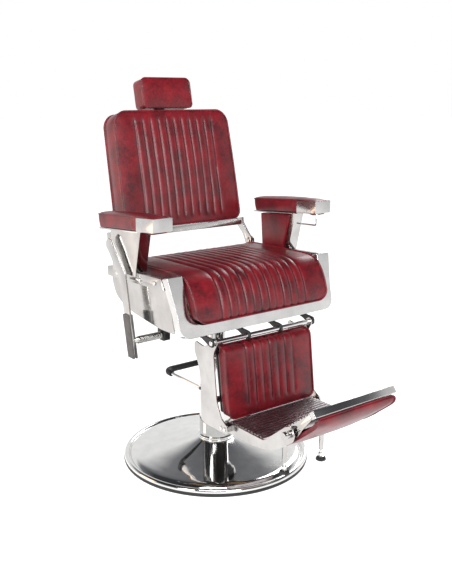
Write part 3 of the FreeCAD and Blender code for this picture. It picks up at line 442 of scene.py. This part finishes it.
def cutPlate(name, corners, start, thick, place, material, bevelMm):
    # a sheet cut to an outline whose corners are rounded by arcs, thick millimetres from start along X
    outline = rounded(corners)
    count = len(outline)
    verts = [place @ Vector((start / 1000, p.x / 1000, p.y / 1000)) for p in outline]
    verts += [place @ Vector(((start + thick) / 1000, p.x / 1000, p.y / 1000)) for p in outline]
    faces = [tuple(range(count)), tuple(reversed(range(count, 2 * count)))]
    faces += [(i, i + count, (i + 1) % count + count, (i + 1) % count) for i in range(count)]
    piece = newObject(name, verts, faces, material)
    shape = bmesh.new()
    shape.from_mesh(piece.data)
    bmesh.ops.recalc_face_normals(shape, faces=shape.faces)
    shape.to_mesh(piece.data)
    shape.free()
    easing = piece.modifiers.new("easing", "BEVEL")
    easing.width = bevelMm / 1000
    easing.segments = 3
    easing.limit_method = "ANGLE"
    easing.angle_limit = math.radians(50)
    easing.harden_normals = True
    return asPlainMesh(piece)


def joined(name, pieces, body, replaced):
    # several plates become one piece
    shape = bmesh.new()
    for piece in pieces:
        shape.from_mesh(piece.data)
    mesh = bpy.data.meshes.new(name)
    shape.to_mesh(mesh)
    shape.free()
    mesh.materials.append(pieces[0].data.materials[0])
    for piece in pieces:
        bpy.data.objects.remove(piece)
    whole = bpy.data.objects.new(name, mesh)
    scene.collection.objects.link(whole)
    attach(whole, body)
    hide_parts(replaced)
    return whole


arch = {"foot": (0, -0.202, 0.487), "lean": -15, "thick": 26}
archLean = Matrix.Rotation(math.radians(arch["lean"]), 4, "X")
archPlace = Matrix.Translation(arch["foot"]) @ archLean @ Matrix.Rotation(math.radians(-90), 4, "Z")
archCorners = [(-300, 172, 4), (-286, 70, 120), (-284, 0, 60), (284, 0, 60), (286, 70, 120), (300, 172, 4),
               (250, 172, 3), (248, 31, 48), (-248, 31, 48), (-250, 172, 3)]
archBlank = cutPlate("archBlank", archCorners, 0, arch["thick"], archPlace, steelArch, 1.6)
joined("archBand", [archBlank], "seat", "front_arch")
sidePlate = [(-196, 504, 6), (-121, 503, 200), (17, 519, 200), (73, 534, 160), (113, 553, 60), (133, 592, 50),
             (135, 638, 4), (-156, 650, 4)]
legPlate = [(-137, 448, 4), (-138, 424, 24), (-156, 388, 60), (-168, 348, 90), (-170, 222, 8),
            (-200, 216, 14), (-289, 216, 6), (-294, 226, 6), (-290, 242, 10), (-263, 258, 20),
            (-243, 300, 70), (-227, 436, 40), (-245, 467, 8), (-241, 480, 8), (-232, 483, 9),
            (-223, 480, 8), (-212, 458, 14), (-180, 448, 24), (-146, 454, 6)]
cheek = [(-256, 212, 3), (-369, 211, 200), (-440, 220, 90), (-497, 250, 80), (-538, 280, 26), (-543, 300, 12),
         (-536, 314, 9), (-522, 318, 9), (-508, 312, 16), (-446, 262, 60), (-424, 244, 24), (-256, 244, 3)]
spacer = [(-286, 220, 3), (-258, 220, 3), (-258, 238, 3), (-286, 238, 3)]
# each plate's outline, its nearer face from the chair's middle, its thickness and the width of its eased edge
plateCuts = {"side": (sidePlate, 283, 3, 0.7), "leg": (legPlate, 176, 4, 0.9), "cheek": (cheek, 156, 4, 0.9),
             "spacer": (spacer, 160, 16, 0.6)}


def sideCut(kind, sign):
    outline, near, thick, bevelMm = plateCuts[kind]
    start = near if sign > 0 else -near - thick
    return cutPlate(kind + "Blank", outline, start, thick, Matrix.Identity(4), steelPolished, bevelMm)


for side, sign in bothSides:
    joined(f"sidePanel_{side}", [sideCut("side", sign)], "seat", f"side_plate_{side}")
    joined(f"legPlate_{side}", [sideCut("leg", sign)], "legrest", f"leg_plate_{side}")
    cheekAndSpacer = [sideCut("cheek", sign), sideCut("spacer", sign)]
    joined(f"footCheek_{side}", cheekAndSpacer, "legrest", f"foot_cheek_{side}")
print("cut plates ready")


def pathFrames(path, count):
    # even steps along a (y, z) path in millimetres: places and outward normals
    line = np.array(path, float)
    lengths = np.concatenate([[0], np.cumsum(np.linalg.norm(np.diff(line, axis=0), axis=1))])
    along = np.linspace(0, lengths[-1], count)
    places = np.stack([np.interp(along, lengths, line[:, k]) for k in (0, 1)], axis=1)
    slope = np.gradient(places, axis=0)
    slope /= np.linalg.norm(slope, axis=1)[:, None]
    return along, places, np.stack([slope[:, 1], -slope[:, 0]], axis=1)


def roundedGrid(halfWidth, length, corners, across, along):
    # a grid over a rounded rectangle; corners are the radii at the path's start and end
    u = np.linspace(-1, 1, across + 1)
    t = np.linspace(0, 1, along + 1)
    x = u[None, :] * np.array([halfWidth(v) for v in t])[:, None]
    y = np.repeat((t * length)[:, None], across + 1, axis=1)
    for end, radius in enumerate(corners):
        edge = 0 if end == 0 else length
        inY = (y - radius) if end == 0 else (y - (length - radius))
        v = np.clip((-inY if end == 0 else inY) / radius, 0, 1)
        widest = np.abs(x).max(axis=1)[:, None]
        w = np.clip((np.abs(x) - (widest - radius)) / radius, 0, 1)
        inCorner = (v > 0) & (w > 0)
        newX = (widest - radius) + radius * w * np.sqrt(1 - v * v / 2)
        newV = v * np.sqrt(1 - w * w / 2)
        newY = radius * (1 - newV) if end == 0 else length - radius * (1 - newV)
        x = np.where(inCorner, np.sign(x) * newX, x)
        y = np.where(inCorner, newY, y)
    return x, y


def upholstered(name, look, material, body, replaced, place):
    # a skin laid on a path, with channels sewn in and pressure under it; look is in millimetres
    total = float(np.linalg.norm(np.diff(np.array(look["path"]), axis=0), axis=1).sum())
    widthMid = look["halfWidth"](0.5)
    across = int(round(2 * widthMid / look["cell"]))
    along = int(round(total / look["cell"]))
    x, y = roundedGrid(look["halfWidth"], total, look["corners"], across, along)
    steps, places, normals = pathFrames(look["path"], 400)
    depthRings = max(4, int(round(look["depth"] / look["cell"])))
    fromEdge = np.minimum(np.abs(x).max(axis=1)[:, None] - np.abs(x), np.minimum(y, total - y))
    rise = look["crown"] * (1 - np.exp(-np.maximum(fromEdge, 0) / (0.28 * widthMid)))

    def lifted(gx, gy, height):
        # the place in space of unrolled points at a height over the path
        base2 = np.stack([np.interp(gy, steps, places[:, k]) for k in (0, 1)], axis=-1)
        out = np.stack([np.interp(gy, steps, normals[:, k]) for k in (0, 1)], axis=-1)
        spot = base2 + out * np.asarray(height)[..., None]
        return np.concatenate([np.asarray(gx)[..., None], spot], axis=-1)

    rows, columns = x.shape
    top = lifted(x, y, rise - look["crown"] * 0.35).reshape(-1, 3)
    outline = [(0, c) for c in range(columns)] + [(r, columns - 1) for r in range(1, rows)]
    outline += [(rows - 1, c) for c in range(columns - 2, -1, -1)] + [(r, 0) for r in range(rows - 2, 0, -1)]
    outlineIds = [r * columns + c for r, c in outline]
    ox = np.array([x[r, c] for r, c in outline])
    oy = np.array([y[r, c] for r, c in outline])
    verts = [top]
    rings = [outlineIds]
    number = len(top)
    for ring in range(1, depthRings):
        part = ring / depthRings
        bulge = look["sideBulge"] * math.sin(math.pi * part)
        spread = 1 + np.where(oy < look.get("bulgeUntil", total + 1), bulge, 0) / widthMid
        verts.append(lifted(ox * spread, oy, np.full(len(ox), -look["depth"] * part)))
        rings.append(list(range(number, number + len(ox))))
        number += len(ox)
    bottomStart = number
    verts.append(lifted(x, y, np.full(x.shape, -look["depth"])).reshape(-1, 3))
    rings.append([bottomStart + i for i in outlineIds])
    verts = np.concatenate(verts) / 1000
    faces = []
    for r in range(rows - 1):
        for c in range(columns - 1):
            a = r * columns + c
            quad = (a, a + 1, a + columns + 1, a + columns)
            faces.append(quad)
            faces.append(tuple(bottomStart + i for i in reversed(quad)))
    for upper, lower in zip(rings, rings[1:]):
        for i in range(len(upper)):
            j = (i + 1) % len(upper)
            faces.append((upper[j], upper[i], lower[i], lower[j]))
    verts = np.array([tuple(place @ Vector(v)) for v in verts])
    piece = newObject(name, verts, faces, material)
    shape = bmesh.new()
    shape.from_mesh(piece.data)
    bmesh.ops.recalc_face_normals(shape, faces=shape.faces)
    shape.to_mesh(piece.data)
    shape.free()

    # how near each top point is to a sewn line, and how much of the line's depth it has there
    seams = look.get("seams", [])
    sewn = np.zeros(len(verts))
    seamGap = np.full(len(verts), 99.0)
    flatX = x.reshape(-1)
    flatY = y.reshape(-1)
    if seams:
        low, high, fade = look["seamSpan"]
        reach = np.clip(np.minimum(flatY - low, high - flatY) / fade, 0, 1)
        gaps = np.min(np.abs(flatX[:, None] - np.array(seams)[None, :]), axis=1)
        seamGap[:len(flatX)] = gaps
        sewn[:len(flatX)] = reach
    inflate(piece, look, outlineIds, seamGap, sewn, len(flatX))
    finer = piece.modifiers.new("finer", "SUBSURF")
    finer.levels = 1
    finer.render_levels = 1
    marks = {"sewn": sewn, "gap": seamGap, "unrolledX": np.pad(flatX, (0, len(verts) - len(flatX))),
             "onTop": (np.arange(len(verts)) < len(flatX)).astype(float)}
    for label, values in marks.items():
        layer = piece.data.attributes.new(label, "FLOAT", "POINT")
        layer.data.foreach_set("value", values.astype(np.float32))
    asPlainMesh(piece)
    sewChannels(piece, look, seams)
    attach(piece, body)
    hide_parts(*replaced)
    # the line that its piping follows, just outside the border
    edge = lifted(ox * (1 + 0.9 / widthMid), oy, np.full(len(ox), 0.6 - 0.35 * look["crown"]))
    return [place @ (Vector(p) / 1000) for p in edge]


clothRule = {"pressure": 4.0, "quality": 5, "stretch": 12, "shear": 5, "bending": 0.5, "frames": 20}


def inflate(piece, look, outlineIds, seamGap, sewn, topCount):
    # pressure swells the skin between its sewn lines; the border, the seams and the back stay put
    still = piece.vertex_groups.new(name="still")
    held = set(outlineIds) | set(range(topCount, len(piece.data.vertices)))
    held |= {i for i in range(topCount) if seamGap[i] < look["cell"] * 0.5 and sewn[i] > 0.5}
    still.add(sorted(held), 1.0, "REPLACE")
    rest = np.array([v.co for v in piece.data.vertices])
    cloth = piece.modifiers.new("pressure", "CLOTH")
    cloth.settings.vertex_group_mass = "still"
    cloth.settings.use_pressure = True
    cloth.settings.uniform_pressure_force = clothRule["pressure"]
    cloth.settings.quality = clothRule["quality"]
    cloth.settings.tension_stiffness = clothRule["stretch"]
    cloth.settings.compression_stiffness = clothRule["stretch"]
    cloth.settings.shear_stiffness = clothRule["shear"]
    cloth.settings.bending_stiffness = clothRule["bending"]
    cloth.settings.effector_weights.gravity = 0
    cloth.collision_settings.use_collision = False
    for step in range(1, clothRule["frames"] + 1):
        scene.frame_set(step)
    asPlainMesh(piece)
    scene.frame_set(1)
    piece.vertex_groups.clear()
    moved = np.array([v.co for v in piece.data.vertices])
    shift = moved - rest
    distance = np.linalg.norm(shift, axis=1)
    cap = look["puff"] / 1000
    keep = np.where(distance > 1e-9, cap * np.tanh(distance / cap) / np.maximum(distance, 1e-9), 1)
    print("   ", piece.name, "swelled by up to", round(float(distance.max()) * 1000, 1), "mm, kept",
          round(float((distance * keep).max()) * 1000, 1))
    piece.data.vertices.foreach_set("co", (rest + shift * keep[:, None]).reshape(-1))
    piece.data.update()


ripples = ((28, 0.0005), (9, 0.0009))  # how often the skin ripples, per metre, and how high


def sewChannels(piece, look, seams):
    # draws the skin in along each sewn line, and marks how much painted shade the material puts into each crease
    mesh = piece.data
    count = len(mesh.vertices)
    values = {}
    for label in ("sewn", "gap", "unrolledX", "onTop"):
        values[label] = np.zeros(count, np.float32)
        mesh.attributes[label].data.foreach_get("value", values[label])
    places = np.zeros(count * 3, np.float32)
    mesh.vertices.foreach_get("co", places)
    places = places.reshape(-1, 3)
    normals = np.zeros(count * 3, np.float32)
    mesh.vertices.foreach_get("normal", normals)
    normals = normals.reshape(-1, 3)
    crease = np.zeros(count)
    if seams:
        gap = np.min(np.abs(values["unrolledX"][:, None] - np.array(seams)[None, :]), axis=1)
        pitch = abs(seams[1] - seams[0])
        between = np.clip(gap / (pitch / 2), 0, 1)
        hollow = look["seamDepth"] * (1 - np.sqrt(np.clip(1 - (1 - between) ** 2, 0, 1)))
        outside = np.abs(values["unrolledX"]) > max(seams)
        wide = look["seamDepth"] * np.exp(-gap / 7)
        hollow = np.where(outside, wide, hollow) * values["sewn"] * values["onTop"]
        places -= normals * (hollow / 1000)[:, None]
        # painted shade: how strongly the material darkens each point in the crease of a sewn line
        crease = np.exp(-(gap / 1.6) ** 2) * values["sewn"] * values["onTop"]
    for i in range(count):
        height = sum(soundNoise.noise(Vector(places[i]) * often) * high for often, high in ripples)
        places[i] += normals[i] * height
    mesh.vertices.foreach_set("co", places.reshape(-1))
    for label in values:
        mesh.attributes.remove(mesh.attributes[label])
    seamShade = mesh.attributes.new("seamShade", "FLOAT", "POINT")
    seamShade.data.foreach_set("value", crease.astype(np.float32))
    mesh.polygons.foreach_set("use_smooth", [True] * len(mesh.polygons))
    mesh.update()


def pipingTree():
    # a cord of the same skin, sewn into the border of a cushion
    tree = bpy.data.node_groups.new("pipingAlongLine", "GeometryNodeTree")
    tree.interface.new_socket("Line", in_out="INPUT", socket_type="NodeSocketGeometry")
    tree.interface.new_socket("Radius", in_out="INPUT", socket_type="NodeSocketFloat")
    tree.interface.new_socket("Skin", in_out="INPUT", socket_type="NodeSocketMaterial")
    tree.interface.new_socket("Piping", in_out="OUTPUT", socket_type="NodeSocketGeometry")
    given = addNode(tree, "NodeGroupInput")
    ring = addNode(tree, "GeometryNodeCurvePrimitiveCircle", {
        "Resolution": 8, "Radius": given.outputs["Radius"]})
    tube = addNode(tree, "GeometryNodeCurveToMesh", {
        "Curve": given.outputs["Line"], "Profile Curve": ring.outputs["Curve"], "Fill Caps": True})
    smooth = addNode(tree, "GeometryNodeSetShadeSmooth", {"Geometry": tube.outputs["Mesh"]})
    real = addNode(tree, "GeometryNodeRealizeInstances", {"Geometry": smooth.outputs["Geometry"]})
    painted = addNode(tree, "GeometryNodeSetMaterial", {
        "Geometry": real.outputs["Geometry"], "Material": given.outputs["Skin"]})
    addNode(tree, "NodeGroupOutput", {"Piping": painted.outputs["Geometry"]})
    return tree


def feedTree(modifier, tree, given):
    # a modifier's inputs are set by their identifiers
    for item in tree.interface.items_tree:
        if item.in_out == "INPUT" and item.name in given:
            modifier[item.identifier] = given[item.name]


def alongLine(name, tree, points, closed, body, **given):
    # a curve through the points, dressed by the tree and turned to a plain mesh
    curve = bpy.data.curves.new(name, "CURVE")
    curve.dimensions = "3D"
    spline = curve.splines.new("POLY")
    spline.points.add(len(points) - 1)
    for spot, point in zip(spline.points, points):
        spot.co = (*point, 1)
    spline.use_cyclic_u = closed
    line = bpy.data.objects.new(name + "Line", curve)
    scene.collection.objects.link(line)
    modifier = line.modifiers.new(name, "NODES")
    modifier.node_group = tree
    feedTree(modifier, tree, given)
    plain = asPlainMesh(line)
    plain.name = name
    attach(plain, body)
    return plain


piping = pipingTree()
upright = Matrix.Identity(4)
leanAngle = math.atan2(jointAt["headrest_height"]["axis"][1], jointAt["headrest_height"]["axis"][2])
hinge = Vector(jointAt["recline"]["pos_m"])
backPlace = Matrix.Translation(hinge) @ Matrix.Rotation(-leanAngle, 4, "X")


def evenSeams(count, pitch):
    return [pitch * (k - (count - 1) / 2) for k in range(count)]


seatLook = {
    "path": smoothLine([(139, 646), (128, 652), (90, 655), (0, 657), (-100, 659), (-148, 658), (-173, 654),
                        (-195, 642), (-212, 623), (-227, 596), (-237, 568), (-242, 548), (-242.5, 533)], 6),
    "halfWidth": lambda t: 240.5 + 1.5 * math.sin(math.pi * min(1, t * 1.1)), "corners": (26, 34),
    "depth": 36, "cell": 5.9, "crown": 5, "seams": evenSeams(12, 28.2), "seamSpan": (6, 482, 16),
    "seamDepth": 5, "puff": 6, "sideBulge": 1.5}
seatEdge = upholstered("seatCushionSkin", seatLook, leather, "seat", ["seat_cushion"], upright)
alongLine("seatPiping", piping, seatEdge, True, "seat", Radius=0.0028, Skin=leather)

backLook = {
    "path": [(-12, 436 - 356 * k / 40) for k in range(41)],
    "halfWidth": lambda t: 210.5 + 8.5 * t + 2.5 * math.sin(math.pi * t), "corners": (42, 26), "depth": 57,
    "cell": 5.9, "crown": 9, "seams": evenSeams(11, 28.8), "seamSpan": (16, 341, 18), "seamDepth": 5.5,
    "puff": 8, "sideBulge": 3}
backEdge = upholstered("backCushionSkin", backLook, leather, "back", ["back_cushion"], backPlace)
alongLine("backPiping", piping, backEdge, True, "back", Radius=0.0028, Skin=leather)

shellLook = {
    "path": [(58, 81 + 355 * k / 40) for k in range(41)], "halfWidth": lambda t: 218 - 8.5 * t,
    "corners": (26, 42), "depth": 9.5, "cell": 9, "crown": 2, "puff": 3, "sideBulge": 1}
shellEdge = upholstered("backShellSkin", shellLook, leather, "back", ["back_shell"], backPlace)
alongLine("backRearPiping", piping, shellEdge, True, "back", Radius=0.0026, Skin=leather)

headLook = {
    "path": [(5, 541 - 93 * k / 20) for k in range(21)], "halfWidth": lambda t: 90.5, "corners": (17, 14),
    "depth": 52, "cell": 4.6, "crown": 5, "puff": 6, "sideBulge": 2}
headEdge = upholstered("headrestSkin", headLook, leather, "headrest", ["headrest_cushion"], backPlace)
alongLine("headrestPiping", piping, headEdge, True, "headrest", Radius=0.002, Skin=leather)

calfLook = {
    "path": smoothLine([(-222, 455), (-240, 455), (-251, 450), (-257, 438), (-264, 380), (-272, 320),
                        (-279, 266), (-278.5, 251)], 6),
    "halfWidth": lambda t: 159 + 1.5 * math.sin(math.pi * t), "corners": (12, 22), "depth": 34, "cell": 5.5,
    "crown": 5, "seams": evenSeams(7, 29), "seamSpan": (-20, 212, 14), "seamDepth": 4.5, "puff": 7,
    "sideBulge": 2}
calfEdge = upholstered("calfCushionSkin", calfLook, leather, "legrest", ["calf_cushion"], upright)
alongLine("calfPiping", piping, calfEdge, True, "legrest", Radius=0.0026, Skin=leather)

flapPlace = Matrix.Translation(jointAt["foot_flap"]["pos_m"]) @ Matrix.Rotation(math.radians(-38), 4, "X")
flapPlace.translation.x = 0
flapLook = {
    "path": smoothLine([(-100.5, 0), (-100, -8), (-85, -18.5), (-40, -21), (20, -21), (58, -18), (86, -7),
                        (94, 6)], 6),
    "halfWidth": lambda t: 142.5, "corners": (16, 18), "depth": 13, "cell": 5.2, "crown": 6, "puff": 9,
    "sideBulge": 1}
flapEdge = upholstered("flapCushionSkin", flapLook, leather, "flap", ["flap_cushion"], flapPlace)
alongLine("flapPiping", piping, flapEdge, True, "flap", Radius=0.0024, Skin=leather)


def armTop(along):
    # the top of the sloping armrest above a place along it
    return 817 - 0.075 * (along + 158)


armLook = {
    "out": 0.2935, "path": smoothLine([(y, armTop(y) + above) for y, above in (
        (148, 1), (124, 4), (40, 5), (-60, 5), (-110, 3), (-138, -1), (-153, -6))], 8),
    "halfWidth": lambda t: 30.6 - 2.6 / (1 + math.exp(-(t - 0.725) * 160)), "corners": (20, 7), "depth": 41,
    "cell": 4.4, "crown": 6, "puff": 3, "sideBulge": 2.2, "bulgeUntil": 205}
for side, sign in bothSides:
    armPlace = Matrix.Translation((sign * armLook["out"], 0, 0))
    armEdge = upholstered(f"armPadSkin_{side}", armLook, leather, "seat", [f"armrest_pad_{side}"], armPlace)
    alongLine(f"armPiping_{side}", piping, armEdge, True, "seat", Radius=0.0019, Skin=leather)
panels = easedCopy("armrest_panels", leather, 6, 5)
print("cushions ready")


def coilTree():
    # wire wound between the lever and its block
    tree = bpy.data.node_groups.new("woundSpring", "GeometryNodeTree")
    tree.interface.new_socket("Geometry", in_out="INPUT", socket_type="NodeSocketGeometry")
    for label in ("Length", "Coil Radius", "Wire Radius", "Turns"):
        tree.interface.new_socket(label, in_out="INPUT", socket_type="NodeSocketFloat")
    tree.interface.new_socket("Start", in_out="INPUT", socket_type="NodeSocketVector")
    tree.interface.new_socket("Steel", in_out="INPUT", socket_type="NodeSocketMaterial")
    tree.interface.new_socket("Spring", in_out="OUTPUT", socket_type="NodeSocketGeometry")
    given = addNode(tree, "NodeGroupInput").outputs
    helix = addNode(tree, "GeometryNodeCurveSpiral", {
        "Resolution": 14, "Rotations": given["Turns"], "Start Radius": given["Coil Radius"],
        "End Radius": given["Coil Radius"], "Height": given["Length"]})
    ring = addNode(tree, "GeometryNodeCurvePrimitiveCircle", {
        "Resolution": 6, "Radius": given["Wire Radius"]})
    wire = addNode(tree, "GeometryNodeCurveToMesh", {
        "Curve": helix.outputs["Curve"], "Profile Curve": ring.outputs["Curve"], "Fill Caps": True})
    placed = addNode(tree, "GeometryNodeTransform", {
        "Geometry": wire.outputs["Mesh"], "Translation": given["Start"], "Rotation": (0, math.pi / 2, 0)})
    smooth = addNode(tree, "GeometryNodeSetShadeSmooth", {"Geometry": placed.outputs["Geometry"]})
    real = addNode(tree, "GeometryNodeRealizeInstances", {"Geometry": smooth.outputs["Geometry"]})
    painted = addNode(tree, "GeometryNodeSetMaterial", {
        "Geometry": real.outputs["Geometry"], "Material": given["Steel"]})
    addNode(tree, "NodeGroupOutput", {"Spring": painted.outputs["Geometry"]})
    return tree


def dressed(name, tree, given, body):
    # a bare mesh that the tree fills in
    piece = bpy.data.objects.new(name, bpy.data.meshes.new(name))
    scene.collection.objects.link(piece)
    modifier = piece.modifiers.new(name, "NODES")
    modifier.node_group = tree
    feedTree(modifier, tree, given)
    asPlainMesh(piece)
    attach(piece, body)
    return piece


springLow, springHigh = (Vector(corner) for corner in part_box("lever_spring"))
springMiddle = (springLow + springHigh) / 2
springSize = {"wire": 0.0011, "turnPitch": 0.0036, "endGap": 0.0012}
coilLength = springHigh.x - springLow.x - 2 * springSize["endGap"]
coil = dressed("springCoil", coilTree(), {
    "Length": coilLength, "Coil Radius": (springHigh.z - springLow.z) / 2 - springSize["wire"],
    "Wire Radius": springSize["wire"], "Turns": coilLength / springSize["turnPitch"],
    "Start": (springLow.x + springSize["endGap"], springMiddle.y, springMiddle.z),
    "Steel": steelPolished}, bodyOf["lever_spring"])
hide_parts("lever_spring")
print("spring ready")


def lookingFrom(position, azimuth, pitch, roll):
    # the camera's turn from the compass direction of the chair seen from it
    back = Vector((
        math.sin(azimuth) * math.cos(pitch), -math.cos(azimuth) * math.cos(pitch), math.sin(pitch)))
    right = Vector((math.cos(azimuth), math.sin(azimuth), 0))
    up = back.cross(right)
    rolledRight = right * math.cos(roll) + up * math.sin(roll)
    rolledUp = up * math.cos(roll) - right * math.sin(roll)
    turned = Matrix((rolledRight, rolledUp, back))
    return Matrix.Translation(position) @ turned.transposed().to_4x4()


view = {"position": (-1.432, -1.911, 1.141), "azimuth": -37.6, "pitch": 14.1, "roll": 0.2, "lens": 49.1}
cameraData = bpy.data.cameras.new("camera")
cameraData.lens = view["lens"]
cameraData.sensor_fit = "AUTO"
cameraData.sensor_width = 36
camera = bpy.data.objects.new("camera", cameraData)
angles = [math.radians(view[turn]) for turn in ("azimuth", "pitch", "roll")]
camera.matrix_world = lookingFrom(Vector(view["position"]), *angles)
scene.collection.objects.link(camera)
scene.camera = camera


def softbox(name, position, target, size, power, color="#ffffff"):
    light = bpy.data.lights.new(name, "AREA")
    light.shape = "RECTANGLE"
    light.size, light.size_y = size
    light.energy = power
    light.color = hexColor(color)[:3]
    lamp = bpy.data.objects.new(name, light)
    lamp.location = position
    lamp.rotation_euler = (Vector(target) - Vector(position)).to_track_quat("-Z", "Y").to_euler()
    lamp.visible_camera = False
    scene.collection.objects.link(lamp)


# each lamp's place, what it points at, its size, its power and its colour if not white
lamps = {
    "tallFront": ((-0.75, -2.75, 1.75), (0, 0.1, 0.8), (0.8, 1.6), 50),
    "keyLeft": ((-3.0, -0.9, 2.0), (0, 0, 0.65), (0.9, 2.2), 52),
    "topFront": ((-1.3, -1.5, 3.2), (0, 0, 0.5), (1.6, 0.9), 45),
    "warmSide": ((-2.6, 1.7, 1.0), (0, 0.1, 0.8), (1.2, 1.6), 14, "#ffd2ac"),
    "rimRight": ((2.4, 1.0, 1.9), (0, 0, 0.6), (0.9, 1.8), 26)}
for name, settings in lamps.items():
    softbox(name, *settings)

# a white cove that rises towards one side, behind the chair, and darkens overhead so that metal has contrast
world = bpy.data.worlds.new("whiteCove")
world.use_nodes = True
sky = world.node_tree
sky.nodes.clear()
direction = addNode(sky, "ShaderNodeTexCoord").outputs["Generated"]
height = addNode(sky, "ShaderNodeSeparateXYZ", {"Vector": direction}).outputs["Z"]
behind = addNode(sky, "ShaderNodeVectorMath", {0: direction, 1: (0.61, 0.79, 0)}, operation="DOT_PRODUCT")
sweep = addNode(sky, "ShaderNodeMath", {0: behind.outputs["Value"], 1: 0}, operation="MAXIMUM")
raised = addNode(sky, "ShaderNodeMath", {0: sweep.outputs[0], 1: -0.42, 2: height}, operation="MULTIPLY_ADD")
cove = ramp(sky, raised.outputs[0], [
    (0.0, "#ffffff"), (0.14, "#ffffff"), (0.3, "#85868a"), (0.6, "#3e3f43"), (1.0, "#303135")])
glow = addNode(sky, "ShaderNodeBackground", {"Color": cove, "Strength": 1.0})
addNode(sky, "ShaderNodeOutputWorld", {"Surface": glow.outputs["Background"]})
scene.world = world

floorMaterial, floorTree, floorShader, floorWhere = newSurface("paleFloor")
mist = addNode(floorTree, "ShaderNodeTexNoise", {"Vector": floorWhere, "Scale": 0.6, "Detail": 2.0})
floorTone = ramp(floorTree, mist.outputs["Fac"], [(0.3, "#b4b4b4"), (0.7, "#b8b8b8")])
floorTree.links.new(floorTone, floorShader.inputs["Base Color"])
floorShader.inputs["Roughness"].default_value = 0.6
floorShader.inputs["Emission Color"].default_value = (1, 1, 1, 1)
floorShader.inputs["Emission Strength"].default_value = 0.94
floorHalf = 30  # metres
floorCorners = [(x * floorHalf, y * floorHalf, 0) for x, y in ((-1, -1), (1, -1), (1, 1), (-1, 1))]
floor = newObject("floor", floorCorners, [(0, 1, 2, 3)], floorMaterial)
scene.view_settings.view_transform = "Standard"
print("camera, light and floor ready")
